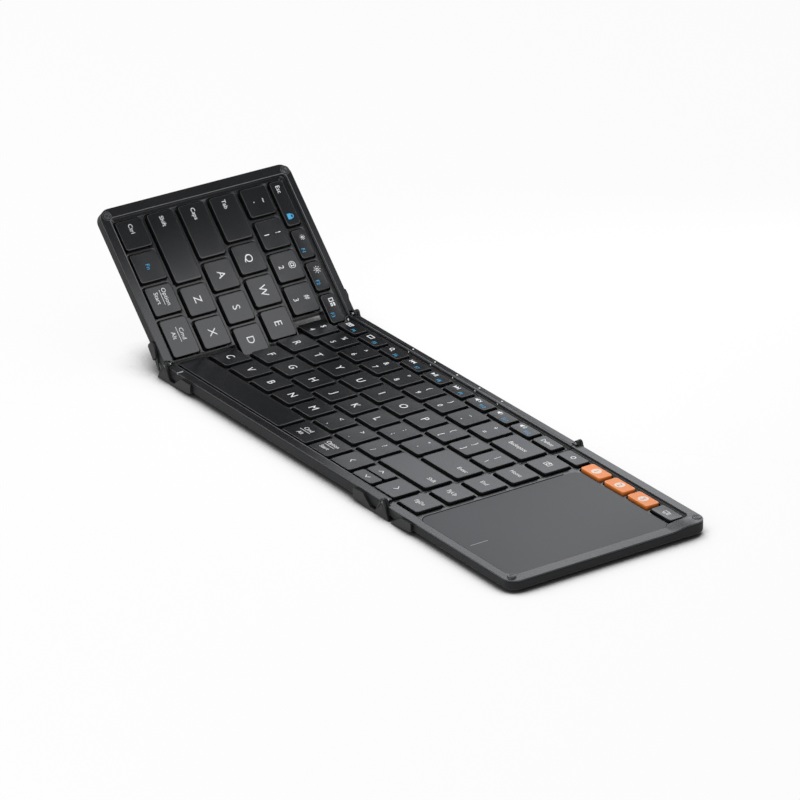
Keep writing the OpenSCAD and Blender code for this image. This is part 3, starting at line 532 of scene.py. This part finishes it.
def arc(cx, cy, r, width, start, end, steps=20):
    # curved stroke of a circle from one angle to another, in degrees
    t = np.radians(np.linspace(start, end, steps + 1))
    way = np.column_stack((np.cos(t), np.sin(t)))
    inner, outer = (r - width / 2) * way, (r + width / 2) * way
    k = np.arange(steps)
    faces = np.column_stack((k, k + steps + 1, k + steps + 2, k + 1))
    return np.vstack((inner, outer)) + [cx, cy], faces.tolist()


def disc(cx, cy, r, steps=28):
    # full circle as one flat face
    t = np.linspace(0, 2 * math.pi, steps, endpoint=False)
    return np.column_stack((cx + r * np.cos(t), cy + r * np.sin(t))), [list(range(steps))]


def poly(*corners):
    # flat face through the corners
    return np.array(corners, float), [list(range(len(corners)))]


def chevron(size, width, turn):
    # two strokes that meet at a point, pointing along the angle
    h = size / 2
    d = width * 0.7071
    shape = np.array([[-h / 2, h], [-h / 2 + d, h + d], [h / 2 + 2 * d, 0], [-h / 2 + d, -h - d],
                      [-h / 2, -h], [h / 2, 0]])
    a = math.radians(turn)
    spin = np.array([[math.cos(a), math.sin(a)], [-math.sin(a), math.cos(a)]])
    return shape @ spin, [[5, 2, 1, 0], [4, 3, 2, 5]]


def sun(r, start, end):
    # ring with eight rays round it
    parts = [arc(0, 0, r, 0.26, 0, 360)]
    for k in range(8):
        c, d = math.cos(math.radians(45 * k)), math.sin(math.radians(45 * k))
        parts.append(bar(start * c, start * d, end * c, end * d, 0.24))
    return parts


def frameBox(x0, y0, x1, y1, w):
    # outline of a rectangle, drawn inside its corners
    h = w / 2
    return [bar(x0, y0 + h, x1, y0 + h, w), bar(x0, y1 - h, x1, y1 - h, w),
            bar(x0 + h, y0 + w, x0 + h, y1 - w, w), bar(x1 - h, y0 + w, x1 - h, y1 - w, w)]


def speaker(waves):
    # loudspeaker with sound waves, or with a cross where there are none
    parts = [poly([-1.6, -0.5], [-0.9, -0.5], [-0.1, -1.1], [-0.1, 1.1], [-0.9, 0.5], [-1.6, 0.5])]
    parts += [arc(-0.2, 0, 0.9 + 0.7 * k, 0.3, -40, 40, 8) for k in range(waves)]
    if not waves:
        parts += [bar(0.5, -0.6, 1.7, 0.6, 0.3), bar(0.5, 0.6, 0.98, 0.12, 0.3),
                  bar(1.22, -0.12, 1.7, -0.6, 0.3)]
    return parts


def functionIcon(n):
    # plain signs for brightness, windows, search, player and loudness
    w = 0.34
    if n in (1, 2):
        return sun(*((0.4, 0.8, 1.1) if n == 1 else (0.5, 0.95, 1.5)))
    if n == 3:
        return (frameBox(-1.7, -1.0, -0.1, 1.0, w) + frameBox(0.3, -1.0, 1.7, -0.1, w)
                + frameBox(0.3, 0.3, 1.7, 1.0, w))
    if n == 4:
        return [*frameBox(-1.6, -1.0, 1.6, 1.0, w), bar(-1.2, 0.2, 1.2, 0.2, w),
                bar(0, -0.7, 0, 0.0, w)]
    if n == 5:
        return frameBox(-1.6, -1.0, 1.6, 1.0, w)
    if n == 6:
        return [arc(-0.2, 0.2, 0.85, w, 0, 360), bar(0.45, -0.45, 1.2, -1.2, w)]
    if n == 7:
        return [bar(-1.5, -0.9, -1.5, 0.9, w), poly([-1.2, 0], [0, -0.9], [0, 0.9]),
                poly([0.1, 0], [1.3, -0.9], [1.3, 0.9])]
    if n == 8:
        return [poly([-1.5, -0.9], [0, 0], [-1.5, 0.9]), bar(0.5, -0.9, 0.5, 0.9, w),
                bar(1.2, -0.9, 1.2, 0.9, w)]
    if n == 9:
        return [poly([-1.3, -0.9], [-0.1, 0], [-1.3, 0.9]), poly([0, -0.9], [1.2, 0], [0, 0.9]),
                bar(1.5, -0.9, 1.5, 0.9, w)]
    return speaker(n - 10)


def shifted(parts, dx, dy, size=1.0):
    return [(p * size + [dx, dy], f) for p, f in parts]


def legendParts(box, legend):
    # flat shapes of one key's print about the key's middle, as {ink: [(points, faces)]}
    s = print2d
    wide = box[1] - box[0]
    out = {"white": [], "blue": [], "cream": [], "orange": []}

    def text(words, kind, dx, dy, ink="white"):
        out[ink] += shifted([letterShapes[(words, s[kind + "Height"])]], dx, dy)

    if legend == "esc":
        text("Esc", "word", -wide / 2 + s["escapeInset"], 0)
        padlock = [poly([-1.2, -1.3], [1.2, -1.3], [1.2, 0.3], [-1.2, 0.3]),
                   arc(0, 0.5, 0.75, 0.36, -15, 195, 12)]
        out["blue"] += shifted(padlock, wide / 2 - s["lockInset"], -0.2, s["iconSize"])
    elif len(legend) == 1:
        text(legend, "letter", 0, 0)
    elif legend[:1] == "F":
        out["white"] += shifted(functionIcon(int(legend[1:])), *s["functionIconAt"], s["iconSize"])
        text(legend, "small", *s["functionTextAt"], "blue")
    elif len(legend) == 2:
        text(legend[0], "sign", 0, -s["signShift"])
        text(legend[1], "sign", 0, s["signShift"])
    elif legend == "camera":
        out["white"] += frameBox(-2.4, -1.6, 2.4, 1.4, 0.36)
        out["white"] += [arc(0, -0.15, 0.85, 0.36, 0, 360), bar(-0.9, 1.6, 0.9, 1.6, 0.4)]
    elif legend == "ring":
        out["white"] += [arc(0, 0, 1.2, 0.5, 0, 360)]
    elif legend == "devices":
        out["white"] += frameBox(-2.3, -0.9, 0.7, 1.3, 0.34)
        out["white"] += frameBox(1.0, -1.5, 2.3, 0.9, 0.34) + [bar(-1.8, -1.5, 0.2, -1.5, 0.34)]
    elif legend:
        kind, words = legend.split(":")
        if kind == "over":
            high, low = words.split("/")
            text(high, "word", s["overX"], s["overY"][0])
            text(low, "word", s["overX"], s["overY"][1])
            out["white"].append(bar(*s["overLine"]))
        elif kind == "arrow":
            out["white"].append(chevron(s["arrowSize"], s["stroke"], float(words)))
        elif kind == "disc":
            out["cream"].append(disc(0, 0, s["discRadius"]))
            text(words, "disc", 0, 0, "orange")
        else:
            shape = letterShapes[(words, s["wordHeight"])][0]
            half = (shape[:, 0].max() - shape[:, 0].min()) / 2
            dx = {"left": -wide / 2 + half + s["leftInset"],
                  "right": wide / 2 - half - s["rightInset"]}.get(kind, 0.0)
            text(words, "word", dx, 0, "blue" if kind == "blue" else "white")
    return out


def inkSolid(flat, faces, box, lift):
    # a flat shape laid on the dished top and thickened: top face, bottom face and border walls
    p = flat + [(box[0] + box[1]) / 2, (box[2] + box[3]) / 2]
    area = sum(np.cross(p[f[1]] - p[f[0]], p[f[2]] - p[f[0]]) for f in faces)
    if area < 0:
        faces = [f[::-1] for f in faces]
    z = capTop - dishDepth(p[:, 0], p[:, 1], box) + lift
    n = len(p)
    top = np.column_stack((p, z + print2d["inkThickness"]))
    low = np.column_stack((p, z - print2d["inkSink"]))
    edges = {(f[k], f[(k + 1) % len(f)]) for f in faces for k in range(len(f))}
    walls = [[b, a, a + n, b + n] for a, b in edges if (b, a) not in edges]
    return np.vstack((top, low)), list(faces) + [[v + n for v in f[::-1]] for f in faces] + walls


makeLetterShapes()
inks = {"white": whiteInk, "blue": blueInk, "cream": creamInk, "orange": orangeInk}
for node, (section, keys) in keyNodes.items():
    solids = {ink: [] for ink in inks}
    for box, legend in keys:
        for ink, parts in legendParts(box, legend).items():
            lift = print2d["digitLift"] if ink == "orange" else 0.0  # these stand on the cream disc
            solids[ink] += [inkSolid(p, f, box, lift) for p, f in parts]
    for ink, parts in solids.items():
        if parts:
            points, faces = joinParts(parts)
            newPiece(f"print_{ink}_{node}", points, faces, section, node,
                     inks[ink], smooth=False)
print("legends made:", len(letterShapes), "texts")


# short printed line near the touchpad's front edge, a thin box
touchLine = {"x": 336.6, "y0": 3.0, "y1": 13.0, "width": 0.4, "sink": 0.02, "rise": 0.03}
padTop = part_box("touchpad")[1].z / mm
lineX, halfLine = touchLine["x"], touchLine["width"] / 2
corners = np.array([[lineX - halfLine, touchLine["y0"]], [lineX + halfLine, touchLine["y0"]],
                    [lineX + halfLine, touchLine["y1"]], [lineX - halfLine, touchLine["y1"]]])
points = np.vstack([np.column_stack((corners, np.full(4, z)))
                    for z in (padTop - touchLine["sink"], padTop + touchLine["rise"])])
faces = [[3, 2, 1, 0], [4, 5, 6, 7], *[[k, (k + 1) % 4, (k + 1) % 4 + 4, k + 4] for k in range(4)]]
newPiece("touchpadLine", points, faces, "right", "touchpad_plate", grayInk,
         smooth=False)


# Rubber parts, turned about upright axes: bumpers, feet and domes.

turnSteps = 40
roundShare = 0.3  # depth of a round edge's middle inside its corner, over the edge's radius


def turned(profile, x, y, steps=turnSteps):
    # a profile of (radius, height) pairs turned about an upright axis at x, y
    t = np.linspace(0, 2 * math.pi, steps, endpoint=False)
    way = np.column_stack((np.cos(t), np.sin(t)))
    rings = [np.column_stack((r * way + [x, y], np.full(steps, z))) for r, z in profile]
    return closedRings(rings, [x, y, profile[0][1]], [x, y, profile[-1][1]])


bumperShape = {
    # ring round the seat, groove, then the button with its own small groove
    "outer": 2.6, "ring": 2.3, "button": 1.95, "middle": 0.4, "soft": 0.05, "edge": 0.3,
    "grooveRadius": 1.1, "grooveHalf": 0.08, "grooveEdge": 0.2, "grooveDepth": 0.09,
    "ringRise": 0.09, "grooveDrop": 0.2,
    "pale": (0, 0, 0.7, 0.7, 0, 0, 0, 0.5, 0.5, 0.2, 0, 0, 0.3, 0.3),  # painted highlight share of each point
    "left": {"x": -3.2, "y": (-0.9, 108.2), "seat": (8.0, 8.0), "rise": (0.3, 0.1)},
    "right": {"x": 375.3, "y": (-0.9, 108.2), "seat": (6.9, 8.0), "rise": (0.9, 0.1)},
}
footShape = {
    "radius": 4.5, "height": 1.2, "edge": 0.35, "middle": 0.5,
    "dishRadius": 3.2, "dishDepth": 0.15, "dishSlope": 0.2,
    "left": ((1.3, 3.0), (1.3, 100.3)), "right": ((372.0, 3.0), (372.0, 100.3)),
    "center": ((100.0, 3.0), (100.0, 100.3), (262.0, 3.0), (262.0, 100.3)),
}


def bumperProfile(seat, rise):
    # (radius, height) pairs: up the ring, down its groove, up on the button and over its own groove
    b = bumperShape
    ring, low, top = seat + b["ringRise"], seat - b["grooveDrop"], seat + rise
    edge = min(b["edge"], (rise + b["grooveDrop"]) / 2)
    outer, soft, button, inset = b["outer"], b["soft"], b["button"], roundShare * edge
    g, half, bank = b["grooveRadius"], b["grooveHalf"], b["grooveEdge"]
    bottom = top - b["grooveDepth"]
    return [(outer, seat - soft), (outer, ring - soft), (outer - soft, ring),
            (b["ring"], ring), (b["ring"] - half, low), (button, low), (button, top - edge),
            (button - inset, top - inset), (button - edge, top), (g + bank, top),
            (g + half, bottom), (g - half, bottom), (g - bank, top), (b["middle"], top)]


for section in ("left", "right"):
    b = bumperShape[section]
    points, faces = joinParts([turned(bumperProfile(z, h), b["x"], y)
                               for y, z, h in zip(b["y"], b["seat"], b["rise"])])
    piece = newPiece(f"turned_{section}_bumpers", points, faces, section, sectionBodies[section],
                     rubber)
    # painted highlight on the ring's top and the button's edge, on both bumpers
    pale = np.concatenate([[0], np.repeat(bumperShape["pale"], turnSteps), [0]])
    paint(piece, np.tile(pale, 2))
    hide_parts(f"{section}_bumpers")

for section, body in sectionBodies.items():
    # from the dished underside round the edge and up to the shell
    f = footShape
    r, h, e = f["radius"], f["height"], f["edge"]
    profile = [(f["middle"], f["dishDepth"]), (f["dishRadius"], f["dishDepth"]),
               (f["dishRadius"] + f["dishSlope"], 0.0), (r - e, 0.0),
               (r - roundShare * e, roundShare * e), (r, e), (r, h), (f["middle"], h)]
    points, faces = joinParts([turned(profile, *spot) for spot in f[section]])
    piece = newPiece(f"turned_{section}_feet", points, faces, section, body, rubber)
    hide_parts(f"{section}_feet")

# rubber cups under the caps, open at the top so that the plunger boss sinks into them at a press
domeShape = {"base": 3.0, "rim": 1.8, "mouth": 1.5, "inside": 2.6, "floor": 0.15, "steps": 24}
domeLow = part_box("center_domes")[0].z / mm
d = domeShape
cup = [(d["base"], domeLow), (d["rim"], capLow), (d["mouth"], capLow),
       (d["inside"], domeLow + d["floor"])]
for section, body in sectionBodies.items():
    boxes = [box for part, keys in keyNodes.values() if part == section for box, _ in keys]
    points, faces = joinParts([turned(cup, (b[0] + b[1]) / 2, (b[2] + b[3]) / 2, d["steps"])
                               for b in boxes])
    piece = newPiece(f"turned_{section}_domes", points, faces, section, body,
                     domeRubber)
    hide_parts(f"{section}_domes")
print("bumpers, feet and domes turned")


# Lips round the key wells: a thin moulding along the rim's inner edge, painted pale all over as a
# painted highlight.

lipShape = {
    "width": 0.4, "rise": 0.07, "depth": 0.2, "corner": 2.6, "steps": 5, "cornerSteps": 8,
    "outside": -1.85, "front": -0.25, "back": 107.7,
    "left": (80.4, 81.6),  # X where the front and the back run end
    "center": (82.6, 86.6, 274.5),  # X where they start, and where both end
}


def lip(path):
    # half-round moulding along a flat path, its ends closed:
    # across = width / 2 * cos(t), height = seat + rise * sin(t), and a flat underside
    s = lipShape
    p = np.array(path, float)
    way = np.gradient(p, axis=0)
    side = np.column_stack((-way[:, 1], way[:, 0])) / np.linalg.norm(way, axis=1)[:, None]
    t = np.linspace(0, math.pi, s["steps"] + 1)
    across = np.concatenate(([s["width"] / 2], s["width"] / 2 * np.cos(t), [-s["width"] / 2]))
    height = np.concatenate(([-s["depth"]], s["rise"] * np.sin(t), [-s["depth"]])) + rimTop
    flat = p[:, None, :] + across[None, :, None] * side[:, None, :]
    points = np.dstack((flat, np.broadcast_to(height, flat.shape[:2]))).reshape(-1, 3)
    n, m = len(across), len(p)
    i, j = np.meshgrid(np.arange(m - 1), np.arange(n), indexing="ij")
    a, b = i * n + j, i * n + (j + 1) % n
    quads = np.stack((a, a + n, b + n, b), -1).reshape(-1, 4).tolist()
    return points, quads + [list(range(n)), list(range((m - 1) * n, m * n))[::-1]]


def quarter(cx, cy, start, end):
    # arc of a well's corner between two angles in degrees
    t = np.radians(np.linspace(start, end, lipShape["cornerSteps"] + 1))
    r = lipShape["corner"]
    return np.column_stack((cx + r * np.cos(t), cy + r * np.sin(t)))


lipX, lipFront, lipBack, corner = (lipShape[k] for k in ("outside", "front", "back", "corner"))
leftPath = np.vstack(([[lipShape["left"][0], lipFront]],
                      quarter(lipX + corner, lipFront + corner, 270, 180),
                      quarter(lipX + corner, lipBack - corner, 180, 90),
                      [[lipShape["left"][1], lipBack]]))
frontStart, backStart, lipEnd = lipShape["center"]
lipPaths = {"left": [leftPath], "center": [[[frontStart, lipFront], [lipEnd, lipFront]],
                                           [[backStart, lipBack], [lipEnd, lipBack]]]}
for section, paths in lipPaths.items():
    points, faces = joinParts([lip(path) for path in paths])
    piece = newPiece(f"lip_{section}", points, faces, section, sectionBodies[section],
                     framePlastic)
    # the whole lip takes the frame plastic's painted highlight colour
    paint(piece, np.ones(len(points)))
print("well lips made")


# Shells, frames and hinge parts: copies of the CAD nodes with rounded edges.
softBevel = {"steps": 2, "sharpAngle": 35, "mergeDistance": 0.002, "flatAngle": 0.5}
softEdges = {
    # node: (edge radius in mm, body, slot, material)
    "center_top_frame": (0.15, "center", "frame_plastic", framePlastic),
    "left_top_frame": (0.15, "left_wing", "frame_plastic", framePlastic),
    "right_top_frame": (0.2, "right_wing", "frame_plastic", borderPlastic),
    "center_bottom_shell": (0.2, "center", "shell_plastic", shellPlastic),
    "left_bottom_shell": (0.2, "left_wing", "shell_plastic", shellPlastic),
    "right_bottom_shell": (0.2, "right_wing", "shell_plastic", shellPlastic),
    "left_fold_posts": (0.15, "center", "hinge_metal", hingePlastic),
    "right_fold_posts": (0.15, "center", "hinge_metal", hingePlastic),
    "left_wing_brackets": (0.15, "left_wing", "hinge_metal", hingePlastic),
    "right_wing_brackets": (0.15, "right_wing", "hinge_metal", hingePlastic),
    "left_fold_pins": (0.15, "center", "pin_steel", pinSteel),
    "right_fold_pins": (0.15, "center", "pin_steel", pinSteel),
    "fold_magnet": (0.12, "center", "pin_steel", pinSteel),
    "usb_socket": (0.08, "right_wing", "socket_steel", socketSteel),
    "battery": (0.3, "right_wing", "battery_foil", batteryFoil),
}


def softCopy(node, radius, body, slot, material):
    # merged and triangulated copy whose sharp edges are rounded, while its flat faces stay flat
    mesh = frame["nodes"][node].data.copy()
    work = bmesh.new()
    work.from_mesh(mesh)
    bmesh.ops.remove_doubles(work, verts=work.verts, dist=softBevel["mergeDistance"] * mm)
    bmesh.ops.dissolve_limit(work, angle_limit=math.radians(softBevel["flatAngle"]),
                             verts=work.verts, edges=work.edges)
    bmesh.ops.triangulate(work, faces=work.faces, ngon_method="BEAUTY")
    work.to_mesh(mesh)
    work.free()
    mesh.materials.clear()
    mesh.materials.append(material)
    mesh.shade_smooth()
    piece = bpy.data.objects.new(f"soft_{node}", mesh)
    bpy.context.scene.collection.objects.link(piece)
    bevel = piece.modifiers.new("roundEdges", "BEVEL")
    bevel.width, bevel.segments = radius * mm, softBevel["steps"]
    bevel.limit_method, bevel.angle_limit = "ANGLE", math.radians(softBevel["sharpAngle"])
    bevel.use_clamp_overlap, bevel.face_strength_mode = False, "FSTR_AFFECTED"
    level = piece.modifiers.new("flatFacesStayFlat", "WEIGHTED_NORMAL")
    level.weight, level.use_face_influence = 100, True
    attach(piece, body)
    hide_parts(node)


for node, values in softEdges.items():
    softCopy(node, *values)
print("soft copies made:", len(softEdges))

# materials on the CAD nodes that stay
carried = {
    "center_support_plate": plateSteel, "left_support_plate": plateSteel,
    "right_support_plate": plateSteel,
    "center_membrane": keyFilm, "left_membrane": keyFilm, "right_membrane": keyFilm,
    "center_screws": screwSteel, "left_screws": screwSteel, "right_screws": screwSteel,
    "status_windows": windowAcrylic, "main_board": boardGreen, "touchpad_board": boardGreen,
    "touchpad_dome": plateSteel, "touchpad": padFilm,
}
for node, material in carried.items():
    mesh = frame["nodes"][node].data
    mesh.materials.clear()
    mesh.materials.append(material)

# Floor, light and camera. A panel's near edge is mirrored at the point "edge" of the tops, along
# the keyboard's depth, and the panel goes on from there; distances and sizes are millimetres.
studio = {
    "worldStrength": 0.65, "floorColour": "#f4f4f4", "floorHalf": 30000,
    "floorShare": 0.9, "shadeDistance": 35, "shadeRange": (0.45, 0.85),
    "backBox": {"edge": (214, 50, 7.7), "section": "flat",
                "away": (-0.747, 0.519, 0.416), "distance": 300,
                "size": (350, 110), "along": 125, "radiance": 1.75, "colour": (0.965, 0.985, 1.03)},
    "wingBox": {"edge": (30, 50, 7.7), "section": "left",
                "away": (0.416, 0.519, 0.747), "distance": 220,
                "size": (150, 115), "along": -36, "radiance": 2.6, "colour": (0.98, 0.99, 1.01)},
    "edgeBox": {"edge": (190, 50, 7.7), "section": "flat",
                "away": (-0.747, -0.416, 0.519), "distance": 900,
                "size": (900, 220), "along": 0, "radiance": 3.0, "colour": (1.0, 1.0, 1.0)},
    "frontBox": {"edge": (60, 50, 7.7), "section": "flat",
                 "away": (0.2, -0.82, 0.53), "distance": 900,
                 "size": (300, 400), "along": 0, "radiance": 3.0, "colour": (1.0, 1.0, 1.0)},
    "flatFlag": {"edge": (-360, 50, 7.7), "section": "flat",
                 "away": (-0.747, 0.519, 0.416), "distance": 760,
                 "size": (900, 780), "along": 0},
    "wingFlag": {"edge": (-230, 50, 7.7), "section": "left",
                 "away": (0.416, 0.519, 0.747), "distance": 620,
                 "size": (700, 640), "along": 0},
}
scene = bpy.context.scene
world = bpy.data.worlds.new("studio")
scene.world = world
world.use_nodes = True
tree = world.node_tree
tree.nodes.clear()
ray = addNode(tree, "ShaderNodeLightPath")
clear = addNode(tree, "ShaderNodeMath", {"operation": "MAXIMUM"},
                {0: ray.outputs["Is Glossy Ray"], 1: ray.outputs["Is Transmission Ray"]})
shown = addNode(tree, "ShaderNodeMath", {"operation": "MAXIMUM"},
                {0: ray.outputs["Is Camera Ray"], 1: clear.outputs[0]})
seen = addNode(tree, "ShaderNodeBackground", {"Color": (1, 1, 1, 1), "Strength": 1.0})
lit = addNode(tree, "ShaderNodeBackground", {"Color": (1, 1, 1, 1),
                                             "Strength": studio["worldStrength"]})
either = addNode(tree, "ShaderNodeMixShader", {}, {0: shown.outputs[0], 1: lit.outputs[0],
                                                   2: seen.outputs[0]})
addNode(tree, "ShaderNodeOutputWorld", {}, {"Surface": either.outputs[0]})

# pale floor: mostly its own white to the camera where nothing stands over it, and shade elsewhere
floorMaterial, floorTree, floorShader, _ = startMaterial("paleStudioFloor", {
    "Base Color": linear(studio["floorColour"]), "Roughness": 0.9, "Specular IOR Level": 0.0})
ray = addNode(floorTree, "ShaderNodeLightPath")
share = addNode(floorTree, "ShaderNodeMath", {"operation": "MULTIPLY", 1: studio["floorShare"]},
                {0: ray.outputs["Is Camera Ray"]})
sky = addNode(floorTree, "ShaderNodeAmbientOcclusion", {"samples": 8,
                                                        "Distance": studio["shadeDistance"] * mm})
white = addNode(floorTree, "ShaderNodeMapRange", {
    "interpolation_type": "SMOOTHSTEP", "From Min": studio["shadeRange"][0],
    "From Max": studio["shadeRange"][1]}, {"Value": sky.outputs["AO"]})
glow = addNode(floorTree, "ShaderNodeEmission", {}, {"Strength": white.outputs["Result"]})
blend = addNode(floorTree, "ShaderNodeMixShader", {}, {
    0: share.outputs[0], 1: floorShader.outputs[0], 2: glow.outputs[0]})
floorTree.links.new(blend.outputs[0], floorTree.nodes["Material Output"].inputs["Surface"])


def panelMesh(name, x, y, material):
    # flat rectangle about the origin, from its half sizes in metres
    mesh = bpy.data.meshes.new(name)
    mesh.from_pydata([(-x, -y, 0), (x, -y, 0), (x, y, 0), (-x, y, 0)], [], [(0, 1, 2, 3)])
    mesh.materials.append(material)
    return mesh


floorHalf = studio["floorHalf"] * mm
floorMesh = panelMesh("floor", floorHalf, floorHalf, floorMaterial)
floor = bpy.data.objects.new("floor", floorMesh)
scene.collection.objects.link(floor)


def aim(thing, box):
    # faces the mirrored point from where "away" points to, its near edge on that line
    away = Vector(box["away"]).normalized()
    start = Vector(place([box["edge"]], box["section"])[0])
    across = (Vector((0, 1, 0)) - away * away.y).normalized()
    rise = across.cross(away)
    thing.location = start + mm * (away * box["distance"] + across * box["along"]
                                   + rise * box["size"][1] / 2)
    turn = Matrix((across, away.cross(across), away)).transposed()
    thing.rotation_mode = "QUATERNION"
    thing.rotation_quaternion = turn.to_quaternion()


def softbox(name, box):
    # area lamp of a given radiance, which the camera doesn't see
    lamp = bpy.data.lights.new(name, "AREA")
    wide, high = box["size"][0] * mm, box["size"][1] * mm
    lamp.shape, lamp.size, lamp.size_y = "RECTANGLE", wide, high
    lamp.energy, lamp.color = box["radiance"] * math.pi * wide * high, box["colour"]
    thing = bpy.data.objects.new(name, lamp)
    scene.collection.objects.link(thing)
    aim(thing, box)
    thing.visible_camera = False


def flag(name, box):
    # black panel far behind the softboxes that only reflections see
    material = startMaterial(name + "Cloth", {
        "Base Color": linear("#000000"), "Roughness": 1.0, "Specular IOR Level": 0.0})[0]
    mesh = panelMesh(name, box["size"][0] * mm / 2, box["size"][1] * mm / 2, material)
    thing = bpy.data.objects.new(name, mesh)
    scene.collection.objects.link(thing)
    aim(thing, box)
    thing.visible_camera = thing.visible_diffuse = thing.visible_shadow = False


for name in ("backBox", "wingBox", "edgeBox", "frontBox"):
    softbox(name, studio[name])
for name in ("flatFlag", "wingFlag"):
    flag(name, studio[name])

# camera fitted to the corners of the photographed keycaps
view = {"azimuth": 55.225, "elevation": 24.565, "focalPixels": 5725.613, "distance": 2861.28,
        "target": (-14.655, 15.778, 7.7), "sensor": 36, "framePixels": 800}
a, e = math.radians(view["azimuth"]), math.radians(view["elevation"])
back = Vector((math.sin(a) * math.cos(e), -math.cos(a) * math.cos(e), math.sin(e)))
lens = bpy.data.cameras.new("camera")
lens.sensor_width = view["sensor"]
lens.lens = view["focalPixels"] * view["sensor"] / view["framePixels"]
lens.clip_start, lens.clip_end = 0.1, 100
camera = bpy.data.objects.new("camera", lens)
scene.collection.objects.link(camera)
camera.location = (Vector(view["target"]) + back * view["distance"]) * mm
camera.rotation_mode = "QUATERNION"
camera.rotation_quaternion = (-back).to_track_quat("-Z", "Y")
scene.camera = camera
scene.view_settings.view_transform = "Standard"

print("done")
